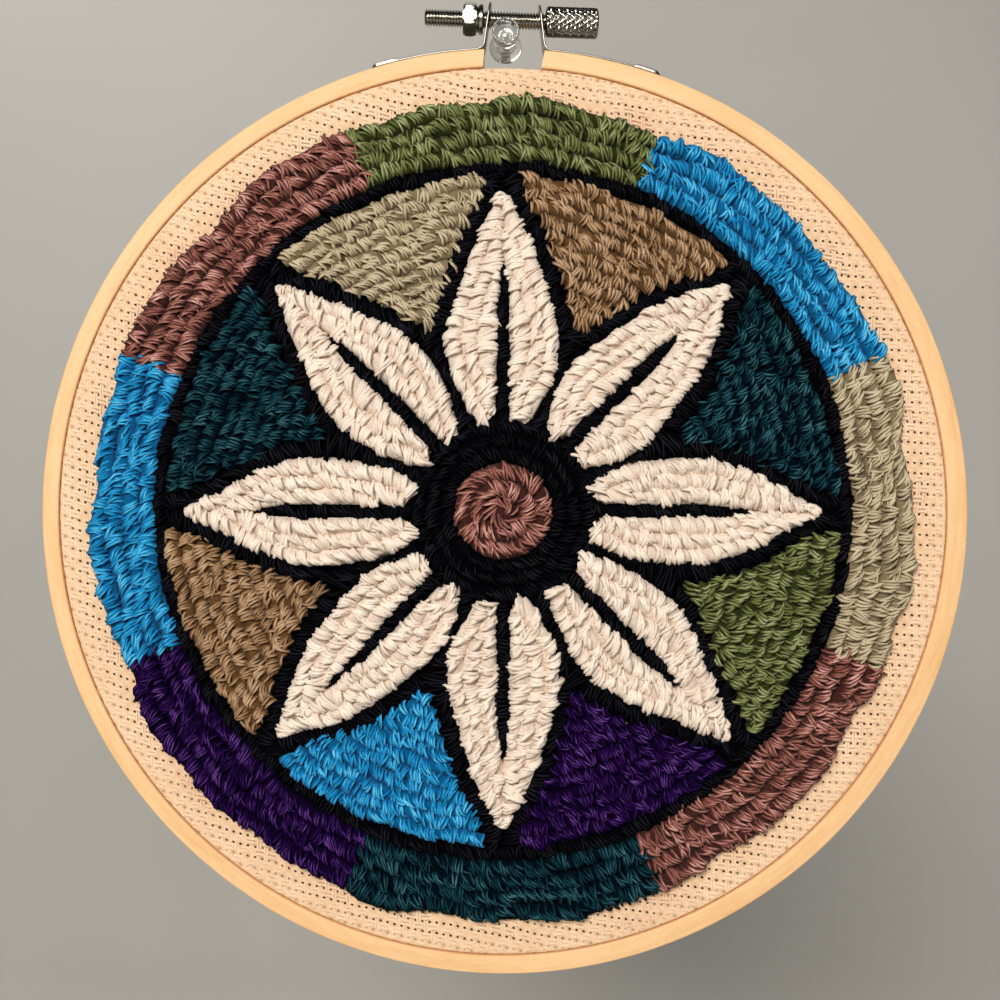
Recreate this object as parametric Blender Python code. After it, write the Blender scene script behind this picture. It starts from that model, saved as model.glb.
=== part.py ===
# Punch needle wall piece: monk's cloth stretched in a wooden embroidery hoop, punched with a rosette
# of yarn loops, and hung by the hoop's screw on a push pin.
# Metres, +Z up. The front faces -Y and the wall is the plane y = 0. The origin is where the pin's
# needle enters the wall.

import math

import bmesh
import bpy
from mathutils import Vector

MM = 0.001
GAP = 0.3 * MM  # left between neighbouring pieces

# Hoop: an outer ring split at the top, and a closed inner ring
RING_RADIUS = 107.0 * MM
RING_WALL = 4.2 * MM
RING_DEPTH = 9.5 * MM
RING_EASE = 0.5 * MM  # chamfer on the rings' long edges
OFF_CENTRE = 0.4 * MM  # the outer ring is this much thinner on its left
INNER_WALL = 4.0 * MM
SPLIT_LEFT = -4.8 * MM  # the outer ring's two ends, measured sideways from its centre
SPLIT_RIGHT = 9.2 * MM
RING_STEPS = 66

# Ground cloth: over the inner ring's front and down between the rings
CLOTH = 0.8 * MM
CLOTH_SHORT = 0.9 * MM  # its cut edge stops this far from the hoop's back

# Screw, nut and knob, along one tilted axis
ROD_RADIUS = 2.0 * MM
BORE_RADIUS = ROD_RADIUS + GAP
ROD_TILT = math.radians(2.0)  # its knob end hangs lower
ROD_START = -18.9 * MM
ROD_END = 19.6 * MM
NUT_START = -9.9 * MM
NUT_LENGTH = 3.1 * MM
NUT_FLATS = 7.0 * MM
SHOULDER_END = -5.25 * MM
SHOULDER_RADIUS = 3.5 * MM
SHOULDER_WAIST = 3.0 * MM
KNOB_START = 9.3 * MM
KNOB_LENGTH = 12.4 * MM
KNOB_RADIUS = 3.6 * MM
KNOB_EASE = 0.7 * MM

# Straps on the outer ring, each bent outwards into an ear
STRAP = 0.5 * MM
STRAP_WIDTH = 8.0 * MM
STRAP_LENGTH = 28.0 * MM
CLAW_LENGTH = 7.5 * MM
CLAW = 1.3 * MM  # the strap's folded end
CLAW_STEP = 0.3 * MM  # the length over which the strap thickens to its folded end
EAR_BEND = 1.8 * MM
EAR_ROUND = 3.2 * MM

# Push pin, turned about the Y axis through the origin
NECK_RADIUS = 2.8 * MM  # where the screw rests on it
PIN_HEAD = 3.15 * MM
PIN_FLANGE = 3.85 * MM
NEEDLE_RADIUS = 0.6 * MM
NEEDLE_IN_WALL = 9.0 * MM
NEEDLE_POINT = 2.0 * MM
NEEDLE_IN_BODY = 7.0 * MM
PIN_OFF_WALL = 0.4 * MM
PIN_LENGTH = 13.2 * MM

# Where things stand: the screw rests on the pin's neck, and the hoop hangs from the screw
MIDDLE = -RING_DEPTH / 2
ROD_AT = Vector((0, MIDDLE, NECK_RADIUS + GAP + ROD_RADIUS))
HOOP_UNDER_ROD = 115.0 * MM
HOOP_X = -0.2 * MM
HOOP_Z = ROD_AT.z - HOOP_UNDER_ROD
RING_INSIDE = RING_RADIUS - RING_WALL
CLOTH_RADIUS = RING_INSIDE - GAP
INNER_RADIUS = CLOTH_RADIUS - CLOTH - GAP
CENTRE_X = HOOP_X - OFF_CENTRE  # the cloth, inner ring and rosette share this centre

# Rosette, in polar form about its own centre
PETALS = 8
SECTOR = math.tau / PETALS
PILE_RADIUS = 94.0 * MM
HEART_RADIUS = 11.0 * MM
PETAL_START = 21.0 * MM
PETAL_END = 74.0 * MM
PETAL_HALF = 12.5 * MM
PETAL_ROOT = 14.0 * MM  # the petal's sides aim at this radius
PETAL_SWELL = 0.85  # below 1 moves the petal's widest part inwards
PETAL_UNEVEN = 0.05
OUTLINE = 4.2 * MM
RIB_HALF = 1.5 * MM
RIB_END = 60.0 * MM
RIB_TAPER = 12.0 * MM
BAND_START = 77.0 * MM
BAND_END = 80.3 * MM
ROW = 4.9 * MM  # how far apart the rows of points across a field stand
KITE_LEAST = 1.2 * MM  # a field narrower than this is left out

# Pile: height above the cloth, shoulder at each field's edge, and the lumps on top
PILE_HEIGHT = {"outline": 3.7 * MM, "petal": 4.8 * MM, "field": 4.4 * MM}
SHOULDER = 1.3 * MM
LUMP = 0.3 * MM

COLOURS = {
    "moss": (0.10, 0.14, 0.05),
    "blue": (0.02, 0.20, 0.42),
    "taupe": (0.20, 0.14, 0.09),
    "teal": (0.006, 0.05, 0.06),
    "sage": (0.27, 0.27, 0.19),
    "purple": (0.045, 0.008, 0.12),
    "mauve": (0.25, 0.12, 0.11),
    "black": (0.006, 0.007, 0.014),
    "cream": (0.75, 0.66, 0.56),
    "cloth": (0.76, 0.58, 0.40),
    "wood": (0.85, 0.58, 0.30),
    "steel": (0.55, 0.55, 0.54),
    "clear plastic": (0.75, 0.75, 0.73),
}
ROUGHNESS = {"steel": 0.25, "clear plastic": 0.08, "wood": 0.45}
KITE_COLOURS = ("taupe", "teal", "moss", "purple", "blue", "taupe", "teal", "sage")
RIM_COLOURS = ("moss", "blue", "sage", "mauve", "teal", "purple", "blue", "mauve")


def clear_scene():
    for thing in list(bpy.data.objects):
        bpy.data.objects.remove(thing)


def material(name):
    """The material of this name, made the first time it is asked for."""
    if name in bpy.data.materials:
        return bpy.data.materials[name]
    made = bpy.data.materials.new(name)
    made.use_nodes = True
    shader = made.node_tree.nodes["Principled BSDF"]
    shader.inputs["Base Color"].default_value = (*COLOURS[name], 1)
    shader.inputs["Metallic"].default_value = 1.0 if name == "steel" else 0.0
    shader.inputs["Roughness"].default_value = ROUGHNESS.get(name, 0.9)
    if name == "clear plastic":
        shader.inputs["Transmission Weight"].default_value = 0.9
    return made


def new_object(name, bm, finish, sharp=40):
    """Closes the mesh's seams, turns its faces outwards and puts it in the scene."""
    bmesh.ops.remove_doubles(bm, verts=bm.verts, dist=1e-7)
    bmesh.ops.recalc_face_normals(bm, faces=bm.faces)
    mesh = bpy.data.meshes.new(name)
    bm.to_mesh(mesh)
    bm.free()
    mesh.shade_smooth()
    mesh.set_sharp_from_angle(angle=math.radians(sharp))
    mesh.materials.append(material(finish))
    made = bpy.data.objects.new(name, mesh)
    bpy.context.scene.collection.objects.link(made)
    return made


def loft(sections, closed=False):
    """A mesh through a row of sections, each a ring of as many points; open rows get end caps."""
    bm = bmesh.new()
    rings = [[bm.verts.new(p) for p in section] for section in sections]
    pairs = list(zip(rings, rings[1:]))
    if closed:
        pairs.append((rings[-1], rings[0]))
    for a, b in pairs:
        for i in range(len(a)):
            j = (i + 1) % len(a)
            bm.faces.new((a[i], a[j], b[j], b[i]))
    if not closed:
        bm.faces.new(rings[0])
        bm.faces.new(reversed(rings[-1]))
    return bm


def eased(inside, outside, front, back, ease):
    """A ring's section as (radius, y) points: a rectangle with its four corners chamfered."""
    return (
        (inside + ease, front), (outside - ease, front),
        (outside, front + ease), (outside, back - ease),
        (outside - ease, back), (inside + ease, back),
        (inside, back - ease), (inside, front + ease),
    )


def turned(profile, centre_x, centre_z, steps):
    """The closed (radius, y) profile turned once round the Y direction."""
    def section(turn):
        return [(centre_x + r * math.cos(turn), y, centre_z + r * math.sin(turn)) for r, y in profile]
    return loft([section(math.tau * i / steps) for i in range(steps)], closed=True)


def hoop_outer():
    start = math.pi / 2 - math.asin(SPLIT_LEFT / RING_RADIUS)
    end = math.tau + math.pi / 2 - math.asin(SPLIT_RIGHT / RING_RADIUS)
    profile = eased(RING_INSIDE, RING_RADIUS, -RING_DEPTH, 0, RING_EASE)
    middle = RING_RADIUS - RING_WALL / 2

    def section(turn):
        return [
            (
                (HOOP_X if r > middle else CENTRE_X) + r * math.cos(turn),
                y,
                HOOP_Z + r * math.sin(turn),
            )
            for r, y in profile
        ]

    sections = [section(start + (end - start) * i / RING_STEPS) for i in range(RING_STEPS + 1)]
    return new_object("hoop_outer", loft(sections), "wood")


def hoop_inner():
    front = -RING_DEPTH + CLOTH + GAP
    profile = eased(INNER_RADIUS - INNER_WALL, INNER_RADIUS, front, 0, RING_EASE)
    return new_object("hoop_inner", turned(profile, CENTRE_X, HOOP_Z, RING_STEPS), "wood")


def ground_cloth():
    """One round of cloth: flat across the front, rounded over the inner ring, its edge turned back."""
    front = -RING_DEPTH
    inside = CLOTH_RADIUS - CLOTH
    edge = -CLOTH_SHORT
    profile = (
        (0, front), (CLOTH_RADIUS - CLOTH, front), (CLOTH_RADIUS - 0.25 * CLOTH, front + 0.3 * CLOTH),
        (CLOTH_RADIUS, front + CLOTH), (CLOTH_RADIUS, edge), (inside, edge),
        (inside, front + CLOTH), (0, front + CLOTH),
    )
    return new_object("ground_cloth", turned(profile, CENTRE_X, HOOP_Z, RING_STEPS), "cloth")


def strap_path(side, corner_x, tip_x, tip_z):
    """The strap's middle line from its ear's tip, round the bend and along the ring, as points."""
    radius = RING_RADIUS + GAP + STRAP / 2
    corner_turn = math.asin(abs(corner_x) / radius)

    def on_ring(turn):
        return Vector((side * radius * math.sin(turn), 0, radius * math.cos(turn)))

    corner = on_ring(corner_turn)
    tip = Vector((tip_x, 0, tip_z))
    up = (tip - corner).normalized()
    bend_top = corner + up * EAR_BEND
    bend_end_turn = corner_turn + EAR_BEND / radius
    bend_end = on_ring(bend_end_turn)
    ear = [tip, tip - up * 0.35 * EAR_ROUND, tip - up * EAR_ROUND]
    bend = [
        bend_top * (1 - t) ** 2 + corner * 2 * t * (1 - t) + bend_end * t ** 2
        for t in (0, 0.25, 0.5, 0.75, 1)
    ]
    claw = STRAP_LENGTH - CLAW_LENGTH
    lengths = (
        claw / 2, claw - 3 * CLAW_STEP, claw, claw + CLAW_STEP,
        claw + CLAW_LENGTH / 2, STRAP_LENGTH - CLAW, STRAP_LENGTH,
    )
    return ear + bend + [on_ring(bend_end_turn + length / radius) for length in lengths]


def strap(name, side, corner_x, tip_x, tip_z):
    """A metal strip with a rounded ear, a hole for the screw and a folded end that lies on the ring."""
    path = strap_path(side, corner_x, tip_x, tip_z)
    last = len(path) - 1
    width_shares = {0: 0.35, 1: 0.8, last - 1: 0.9, last: 0.6}  # both ends are rounded
    folded = CLAW - STRAP / 2
    tops = {last - 3: folded, last - 2: folded, last - 1: folded, last: 0.0}
    sections = []
    for i, point in enumerate(path):
        along = (path[min(i + 1, last)] - path[max(i - 1, 0)]).normalized()
        out = Vector((-along.z, 0, along.x)) * side
        half = Vector((0, STRAP_WIDTH / 2 * width_shares.get(i, 1.0), 0))
        top = point + out * tops.get(i, STRAP / 2)
        bottom = point - out * STRAP / 2
        sections.append([top + half, top - half, bottom - half, bottom + half])
    moved = [[p + Vector((HOOP_X, MIDDLE, HOOP_Z)) for p in section] for section in sections]
    made = new_object(name, loft(moved), "steel", sharp=30)
    cut_bore(made, BORE_RADIUS + 0.1 * MM)
    return made


def on_rod(made):
    """Puts an object made about the X axis onto the screw's tilted axis."""
    made.location = ROD_AT
    made.rotation_euler = (0, ROD_TILT, 0)
    return made


def turned_on_rod(profile, steps):
    """The (x, radius) profile turned round the X axis, with the ends closed; a point is on top."""
    turns = [math.tau * i / steps for i in range(steps)]
    return loft([[(x, r * math.sin(turn), r * math.cos(turn)) for turn in turns] for x, r in profile])


def cut_bore(made, radius):
    """Cuts the screw's hole through a piece with a cutter that runs along the screw's axis."""
    length = (ROD_END - ROD_START) * 2
    cutter = new_object(
        made.name + "_cutter", turned_on_rod(((-length, radius), (length, radius)), 16), "steel"
    )
    on_rod(cutter)
    cutter.hide_render = True
    cutter.display_type = "WIRE"
    cut = made.modifiers.new("bore", "BOOLEAN")
    cut.operation = "DIFFERENCE"
    cut.solver = "EXACT"
    cut.object = cutter


def hex_nut():
    """The hexagon nut with its waisted round shoulder, both about the screw."""
    corners = NUT_FLATS / math.sqrt(3)
    ease = 0.35 * MM
    nut_end = NUT_START + NUT_LENGTH
    nut = turned_on_rod(
        (
            (NUT_START, corners - ease), (NUT_START + ease, corners),
            (nut_end - ease, corners), (nut_end, corners - ease),
        ),
        6,
    )
    made = on_rod(new_object("hex_nut", nut, "steel", sharp=25))
    waist = (nut_end + SHOULDER_END) / 2
    ring = turned_on_rod(
        (
            (nut_end - ease, SHOULDER_WAIST), (waist - 0.3 * MM, SHOULDER_WAIST),
            (waist + 0.2 * MM, SHOULDER_RADIUS), (SHOULDER_END - 0.2 * MM, SHOULDER_RADIUS),
            (SHOULDER_END, SHOULDER_RADIUS - 0.2 * MM),
        ),
        24,
    )
    shoulder = on_rod(new_object("nut_shoulder", ring, "steel"))
    shoulder.hide_render = True
    shoulder.display_type = "WIRE"
    join = made.modifiers.new("shoulder", "BOOLEAN")
    join.operation = "UNION"
    join.solver = "EXACT"
    join.object = shoulder
    cut_bore(made, BORE_RADIUS)
    return made


def tension_screw():
    tip = 0.4 * MM
    rod = turned_on_rod(
        (
            (ROD_START, ROD_RADIUS - tip), (ROD_START + tip, ROD_RADIUS),
            (ROD_END - tip, ROD_RADIUS), (ROD_END, ROD_RADIUS - tip),
        ),
        16,
    )
    return on_rod(new_object("tension_screw", rod, "steel"))


def screw_knob():
    """The knob, bored from its inner end for the screw; its wall turns back inside at the bore."""
    end = KNOB_START + KNOB_LENGTH
    knob = turned_on_rod(
        (
            (ROD_END + GAP, 0.0), (ROD_END + GAP, BORE_RADIUS), (KNOB_START, BORE_RADIUS),
            (KNOB_START, KNOB_RADIUS - KNOB_EASE), (KNOB_START + KNOB_EASE, KNOB_RADIUS),
            (end - KNOB_EASE, KNOB_RADIUS), (end, KNOB_RADIUS - KNOB_EASE), (end, 0.0),
        ),
        24,
    )
    flat_ends = [f for f in knob.faces if len(f.verts) > 4]
    bmesh.ops.delete(knob, geom=flat_ends, context="FACES_ONLY")
    return on_rod(new_object("screw_knob", knob, "steel", sharp=30))


def pin_body():
    """A flange against the wall, a neck that widens to the head, a dished face and a bore behind."""
    bore = NEEDLE_RADIUS + GAP
    ease = 0.4 * MM
    profile = (
        (0, -NEEDLE_IN_BODY - GAP), (bore, -NEEDLE_IN_BODY - GAP), (bore, -PIN_OFF_WALL),
        (PIN_FLANGE - ease, -PIN_OFF_WALL), (PIN_FLANGE, -PIN_OFF_WALL - ease),
        (PIN_FLANGE - ease / 2, -PIN_OFF_WALL - 2 * ease),
        (0.82 * NECK_RADIUS, 0.46 * MIDDLE), (0.94 * NECK_RADIUS, 0.67 * MIDDLE),
        (NECK_RADIUS, MIDDLE), (NECK_RADIUS, 1.7 * MIDDLE),
        (PIN_HEAD, -PIN_LENGTH + 4 * ease), (PIN_HEAD, -PIN_LENGTH + ease),
        (PIN_HEAD - ease, -PIN_LENGTH), (0.6 * PIN_HEAD, -PIN_LENGTH + ease),
        (0, -PIN_LENGTH + 2 * ease),
    )
    return new_object("pin_body", turned(profile, 0, 0, 24), "clear plastic", sharp=50)


def pin_needle():
    profile = (
        (0, -NEEDLE_IN_BODY), (NEEDLE_RADIUS, -NEEDLE_IN_BODY),
        (NEEDLE_RADIUS, NEEDLE_IN_WALL - NEEDLE_POINT), (0, NEEDLE_IN_WALL),
    )
    return new_object("pin_needle", turned(profile, 0, 0, 12), "steel")


def petal_half_width(radius, petal):
    """Half a petal's width at this radius: blunt at its start and pointed at its end."""
    if radius >= PETAL_END:
        return 0.0
    share = max(0.0, (radius - PETAL_ROOT) / (PETAL_END - PETAL_ROOT))
    uneven = 1 + PETAL_UNEVEN * math.sin(1.7 * petal + 0.2 * radius / MM)
    return PETAL_HALF * math.sin(math.pi * share ** PETAL_SWELL) * uneven


def rib_half_width(radius):
    """Half the dark rib's width: even, then tapering to nothing before the petal's point."""
    return RIB_HALF * min(1.0, max(0.0, (RIB_END - radius) / RIB_TAPER))


def half_turn(width, radius):
    """The angle that this width, off a petal's axis, takes at this radius."""
    return math.asin(min(1.0, max(0.0, width) / radius))


def outline_turn(radius, petal):
    """How far the dark outline reaches from the petal's axis, at most to the next petal's."""
    return min(SECTOR / 2, half_turn(petal_half_width(radius, petal) + OUTLINE, radius))


def rows_between(start, end):
    """Radii from start to end, about a row apart."""
    count = max(1, round((end - start) / ROW))
    return [start + (end - start) * i / count for i in range(count + 1)]


def patch(grid, wanted=None):
    """The flat cells of a grid of (radius, angle) rows. Angles turn clockwise from the top."""
    cells = []
    for j, (near, far) in enumerate(zip(grid, grid[1:])):
        for i in range(len(near) - 1):
            if wanted is None or wanted(j, i):
                cells.append((near[i], near[i + 1], far[i + 1], far[i]))
    return cells


def lump_at(x, z):
    """The pile's slow lumps, from -LUMP to LUMP."""
    a = math.sin(x / (2.9 * MM) + 1.3 * math.sin(z / (4.1 * MM)))
    b = math.sin(z / (3.1 * MM) + math.sin(x / (5.3 * MM)))
    return LUMP * a * b


def loops_of(edges):
    """The closed rings of vertices that these edges form."""
    follows = {}
    for edge in edges:
        for v in edge.verts:
            follows.setdefault(v, []).append(edge.other_vert(v))
    rings = []
    while follows:
        start = next(iter(follows))
        ring, before, here = [start], None, start
        while True:
            after = [v for v in follows[here] if v is not before][0]
            if after is start:
                break
            ring.append(after)
            before, here = here, after
        rings.append(ring)
        for v in ring:
            del follows[v]
    return rings


def pile(name, cells, height, colour):
    """A closed lumpy slab on the cloth over these flat cells, lower along its edges."""
    bm = bmesh.new()
    for cell in cells:
        points = [(CENTRE_X + r * math.sin(a), 0, HOOP_Z + r * math.cos(a)) for r, a in cell]
        bm.faces.new([bm.verts.new(p) for p in points])
    bmesh.ops.remove_doubles(bm, verts=bm.verts, dist=0.02 * MM)
    top = list(bm.faces)
    rim = [edge for edge in bm.edges if edge.is_boundary]
    rings = loops_of(rim)
    edge_verts = {v for edge in rim for v in edge.verts}
    under = {v: bm.verts.new(v.co) for v in (edge_verts if len(rings) == 1 else list(bm.verts))}
    if len(rings) == 1:
        bm.faces.new([under[v] for v in rings[0]])
    else:
        for face in top:
            bm.faces.new([under[v] for v in reversed(face.verts)])
    for edge in rim:
        a, b = edge.verts
        bm.faces.new((a, b, under[b], under[a]))
    cloth_front = -RING_DEPTH
    lower = set(under.values())
    for v in bm.verts:
        if v in lower:
            v.co.y = cloth_front - GAP
        else:
            drop = SHOULDER if v in edge_verts else 0.0
            v.co.y = cloth_front - height + drop - lump_at(v.co.x, v.co.z)
    return new_object(name, bm, colour, sharp=70)


def spread(low, high, count):
    """Values from low to high in this many equal steps."""
    return [low + (high - low) * i / count for i in range(count + 1)]


def pile_heart():
    turns = spread(0.0, math.tau, 24)
    grid = [[(radius, turn) for turn in turns] for radius in spread(0.0, HEART_RADIUS, 3)]
    pile("pile_heart", patch(grid), PILE_HEIGHT["field"], "mauve")


def pile_outline():
    """The dark yarn: core, outlines and ribs of all the petals, and the band round them, in one."""
    core = rows_between(HEART_RADIUS + GAP, PETAL_START)
    middle = rows_between(PETAL_START, PETAL_END)[1:]
    band = spread(BAND_START, BAND_END, 2)
    radii = core + middle + band
    hole_first = len(core) - 1
    hole_last = len(core) + len(middle) - 2
    cells = []
    for petal in range(PETALS):
        for side in (-1, 1):
            grid = []
            for radius in radii:
                rib = half_turn(rib_half_width(radius), radius)
                inner = max(rib, half_turn(petal_half_width(radius, petal), radius))
                outer = outline_turn(radius, petal)
                turns = [0.0, rib, inner, (inner + outer) / 2, outer]
                turns += spread(outer, SECTOR / 2, 3)[1:]
                grid.append([(radius, petal * SECTOR + side * turn) for turn in turns])

            def wanted(row, column):
                if column == 1:
                    return not hole_first <= row <= hole_last
                return column < 4 or row > len(radii) - len(band) - 1

            cells += patch(grid, wanted)
    pile("pile_outline", cells, PILE_HEIGHT["outline"], "black")


def pile_petal(petal):
    """A cream petal, open down its middle for the dark rib as far as the rib goes."""
    radii = rows_between(PETAL_START, PETAL_END)
    radii[0] += GAP
    radii[-1] -= 2 * GAP
    cells = []
    for side in (-1, 1):
        grid = []
        for radius in radii:
            outer = half_turn(petal_half_width(radius, petal) - GAP, radius)
            rib = rib_half_width(radius)
            inner = min(outer, half_turn(rib + GAP if rib > 0 else 0, radius))
            grid.append([(radius, petal * SECTOR + side * turn) for turn in spread(inner, outer, 2)])
        cells += patch(grid)
    pile(f"pile_petal_{petal + 1}", cells, PILE_HEIGHT["petal"], "cream")


def pile_kite(petal):
    """The coloured field between this petal and the next, inside the band."""
    next_petal = (petal + 1) % PETALS
    radii = rows_between(PETAL_START, PETAL_END) + [BAND_START - GAP]
    grid = []
    for radius in radii:
        gap = half_turn(GAP, radius)
        low = outline_turn(radius, petal) + gap
        high = SECTOR - outline_turn(radius, next_petal) - gap
        if (high - low) * radius > KITE_LEAST:
            grid.append([(radius, petal * SECTOR + turn) for turn in spread(low, high, 4)])
    pile(f"pile_kite_{petal + 1}", patch(grid), PILE_HEIGHT["field"], KITE_COLOURS[petal])


def pile_rim(petal):
    """The coloured field outside the band, centred on a petal's point, with an uneven outer edge."""
    gap = half_turn(GAP / 2, BAND_END)
    low = (petal - 0.5) * SECTOR + gap
    high = (petal + 0.5) * SECTOR - gap
    start = BAND_END + GAP
    grid = []
    for share in spread(0, 1, 3):
        row = []
        for turn in spread(low, high, 14):
            uneven = 0.7 * MM * math.sin(11 * turn + 1) + 0.5 * MM * math.sin(26 * turn)
            row.append((start + (PILE_RADIUS + uneven - start) * share, turn))
        grid.append(row)
    pile(f"pile_rim_{petal + 1}", patch(grid), PILE_HEIGHT["field"], RIM_COLOURS[petal])


def main():
    clear_scene()
    hoop_outer()
    hoop_inner()
    ground_cloth()
    strap("strap_left", -1, -5.0 * MM, -3.3 * MM, 119.0 * MM)
    strap("strap_right", 1, 9.3 * MM, 8.0 * MM, 118.4 * MM)
    hex_nut()
    tension_screw()
    screw_knob()
    pin_body()
    pin_needle()
    pile_heart()
    pile_outline()
    for petal in range(PETALS):
        pile_petal(petal)
        pile_kite(petal)
        pile_rim(petal)


main()
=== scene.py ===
import math

import bmesh
import bpy
import numpy as np
from mathutils import Matrix, Vector


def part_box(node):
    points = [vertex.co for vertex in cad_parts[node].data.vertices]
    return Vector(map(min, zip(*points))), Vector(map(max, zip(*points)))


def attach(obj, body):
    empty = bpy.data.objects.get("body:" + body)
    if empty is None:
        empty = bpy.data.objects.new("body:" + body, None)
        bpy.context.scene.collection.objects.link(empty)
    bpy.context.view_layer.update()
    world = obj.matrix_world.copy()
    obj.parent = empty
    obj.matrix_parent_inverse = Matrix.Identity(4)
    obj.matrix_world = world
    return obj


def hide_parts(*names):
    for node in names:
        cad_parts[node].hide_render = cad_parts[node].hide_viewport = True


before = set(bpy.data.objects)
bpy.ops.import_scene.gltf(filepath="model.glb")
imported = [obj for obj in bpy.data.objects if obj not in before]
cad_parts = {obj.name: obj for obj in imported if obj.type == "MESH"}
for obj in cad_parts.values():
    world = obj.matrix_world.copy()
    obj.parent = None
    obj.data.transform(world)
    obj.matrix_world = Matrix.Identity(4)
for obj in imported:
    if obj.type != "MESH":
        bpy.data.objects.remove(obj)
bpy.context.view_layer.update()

mm = 0.001
scene = bpy.context.scene
scene.view_settings.view_transform = "Standard"
print("frame loaded:", len(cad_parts), "nodes")


# the camera stands where the photograph was taken
cameraSetup = {"place": (-0.00132, -0.330, -0.10733), "lens": 49.93, "sensor": 36.0, "nearest": 0.01}


def placeCamera():
    data = bpy.data.cameras.new("photoCamera")
    data.lens = cameraSetup["lens"]
    data.sensor_width = cameraSetup["sensor"]
    data.clip_start = cameraSetup["nearest"]
    camera = bpy.data.objects.new("photoCamera", data)
    camera.location = cameraSetup["place"]
    camera.rotation_euler = (math.pi / 2, 0, 0)
    scene.collection.objects.link(camera)
    scene.camera = camera


placeCamera()


# node helpers

def findSocket(sockets, key):
    if isinstance(key, int):
        return sockets[key]
    return next(s for s in sockets if s.enabled and s.name == key)


class Wire:
    # a node socket that takes part in sums: every operator adds its Math node
    def __init__(self, tree, socket=None):
        self.tree = tree
        self.socket = socket

    def make(self, kind, settings=None, values=None, output=0):
        node = self.tree.nodes.new(kind)
        for name, value in (settings or {}).items():
            if name == "stops":
                ramp = node.color_ramp
                while len(ramp.elements) < len(value):
                    ramp.elements.new(0.5)
                for element, (position, colour) in zip(ramp.elements, value):
                    element.position = position
                    element.color = (*colour, 1)
            else:
                setattr(node, name, value)
        for key, value in (values or {}).items():
            socket = findSocket(node.inputs, key)
            if isinstance(value, Wire):
                self.tree.links.new(value.socket, socket)
            else:
                socket.default_value = value
        return Wire(self.tree, findSocket(node.outputs, output))

    def maths(self, operation, *values):
        return self.make("ShaderNodeMath", {"operation": operation}, dict(enumerate(values)))

    def vector(self, operation, *values):
        return self.make("ShaderNodeVectorMath", {"operation": operation}, dict(enumerate(values)))

    def __add__(self, other):
        return self.maths("ADD", self, other)

    __radd__ = __add__

    def __sub__(self, other):
        return self.maths("SUBTRACT", self, other)

    def __rsub__(self, other):
        return self.maths("SUBTRACT", other, self)

    def __mul__(self, other):
        return self.maths("MULTIPLY", self, other)

    __rmul__ = __mul__

    def __truediv__(self, other):
        return self.maths("DIVIDE", self, other)

    def __rtruediv__(self, other):
        return self.maths("DIVIDE", other, self)

    def __pow__(self, other):
        return self.maths("POWER", self, other)

    def within(self, low, high):
        # 0 below low, 1 above high, smooth between
        return self.make("ShaderNodeMapRange", {"interpolation_type": "SMOOTHSTEP"},
                         {"Value": self, "From Min": low, "From Max": high})

    def sine(self):
        return self.maths("SINE", self)

    def noise(self, place, scale, detail=2.0, roughness=0.5, output="Fac"):
        values = {"Vector": place, "Scale": scale, "Detail": detail, "Roughness": roughness}
        return self.make("ShaderNodeTexNoise", {}, values, output)

    def jitter(self, place, scale, detail=1.0):
        # a shift of up to half a unit each way that changes from place to place
        shift = self.noise(place, scale, detail, output="Color")
        return shift.vector("SUBTRACT", shift, (0.5, 0.5, 0.5))

    def ramp(self, level, stops):
        return self.make("ShaderNodeValToRGB", {"stops": stops}, {"Fac": level}, "Color")

    def blendColours(self, share, first, second):
        values = {"Factor": share, "A": first, "B": second}
        return self.make("ShaderNodeMix", {"data_type": "RGBA"}, values, "Result")

    def combined(self, x=0.0, y=0.0, z=0.0):
        return self.make("ShaderNodeCombineXYZ", {}, {"X": x, "Y": y, "Z": z})

    def parts(self):
        # the x, y and z of a vector
        split = self.make("ShaderNodeSeparateXYZ", {}, {"Vector": self}).socket.node
        return [Wire(self.tree, socket) for socket in split.outputs]

    def scaled(self, amount):
        return self.make("ShaderNodeVectorMath", {"operation": "SCALE"}, {"Vector": self, "Scale": amount})

    def moved(self, offset):
        return self.make("GeometryNodeSetPosition", {}, {"Geometry": self, "Offset": offset})

    def stored(self, name, value, kind="FLOAT", domain="POINT"):
        # this geometry with an attribute that the finish reads
        return self.make("GeometryNodeStoreNamedAttribute", {"data_type": kind, "domain": domain},
                         {"Geometry": self, "Name": name, "Value": value})


def screenColour(red, green, blue):
    # a colour as the photograph shows it, 0 to 255, made linear for the shader
    shares = (red / 255, green / 255, blue / 255)
    return tuple(c / 12.92 if c <= 0.04045 else ((c + 0.055) / 1.055) ** 2.4 for c in shares)


def newFinish(name, constants):
    # a material, its shader and a first wire to build on
    made = bpy.data.materials.new(name)
    made.use_nodes = True
    shader = made.node_tree.nodes["Principled BSDF"]
    for socket, value in constants.items():
        shader.inputs[socket].default_value = value
    return made, shader, Wire(made.node_tree)


def plug(wire, shader, socket):
    wire.tree.links.new(wire.socket, shader.inputs[socket])


def bumpInto(shader, height, strength, distance):
    values = {"Height": height, "Strength": strength, "Distance": distance}
    plug(height.make("ShaderNodeBump", {}, values, "Normal"), shader, "Normal")


def objectPlace(start):
    return start.make("ShaderNodeTexCoord", output="Object")


def attributeOf(start, name, output="Fac"):
    return start.make("ShaderNodeAttribute", {"attribute_name": name}, output=output)


def distanceFrom(place, middle):
    # how far a place is from a line that runs from front to back
    away = place.vector("SUBTRACT", place, middle)
    away = away.vector("MULTIPLY", away, (1.0, 0.0, 1.0))
    return away.make("ShaderNodeVectorMath", {"operation": "LENGTH"}, {"Vector": away}, "Value")


# mesh helpers

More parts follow.
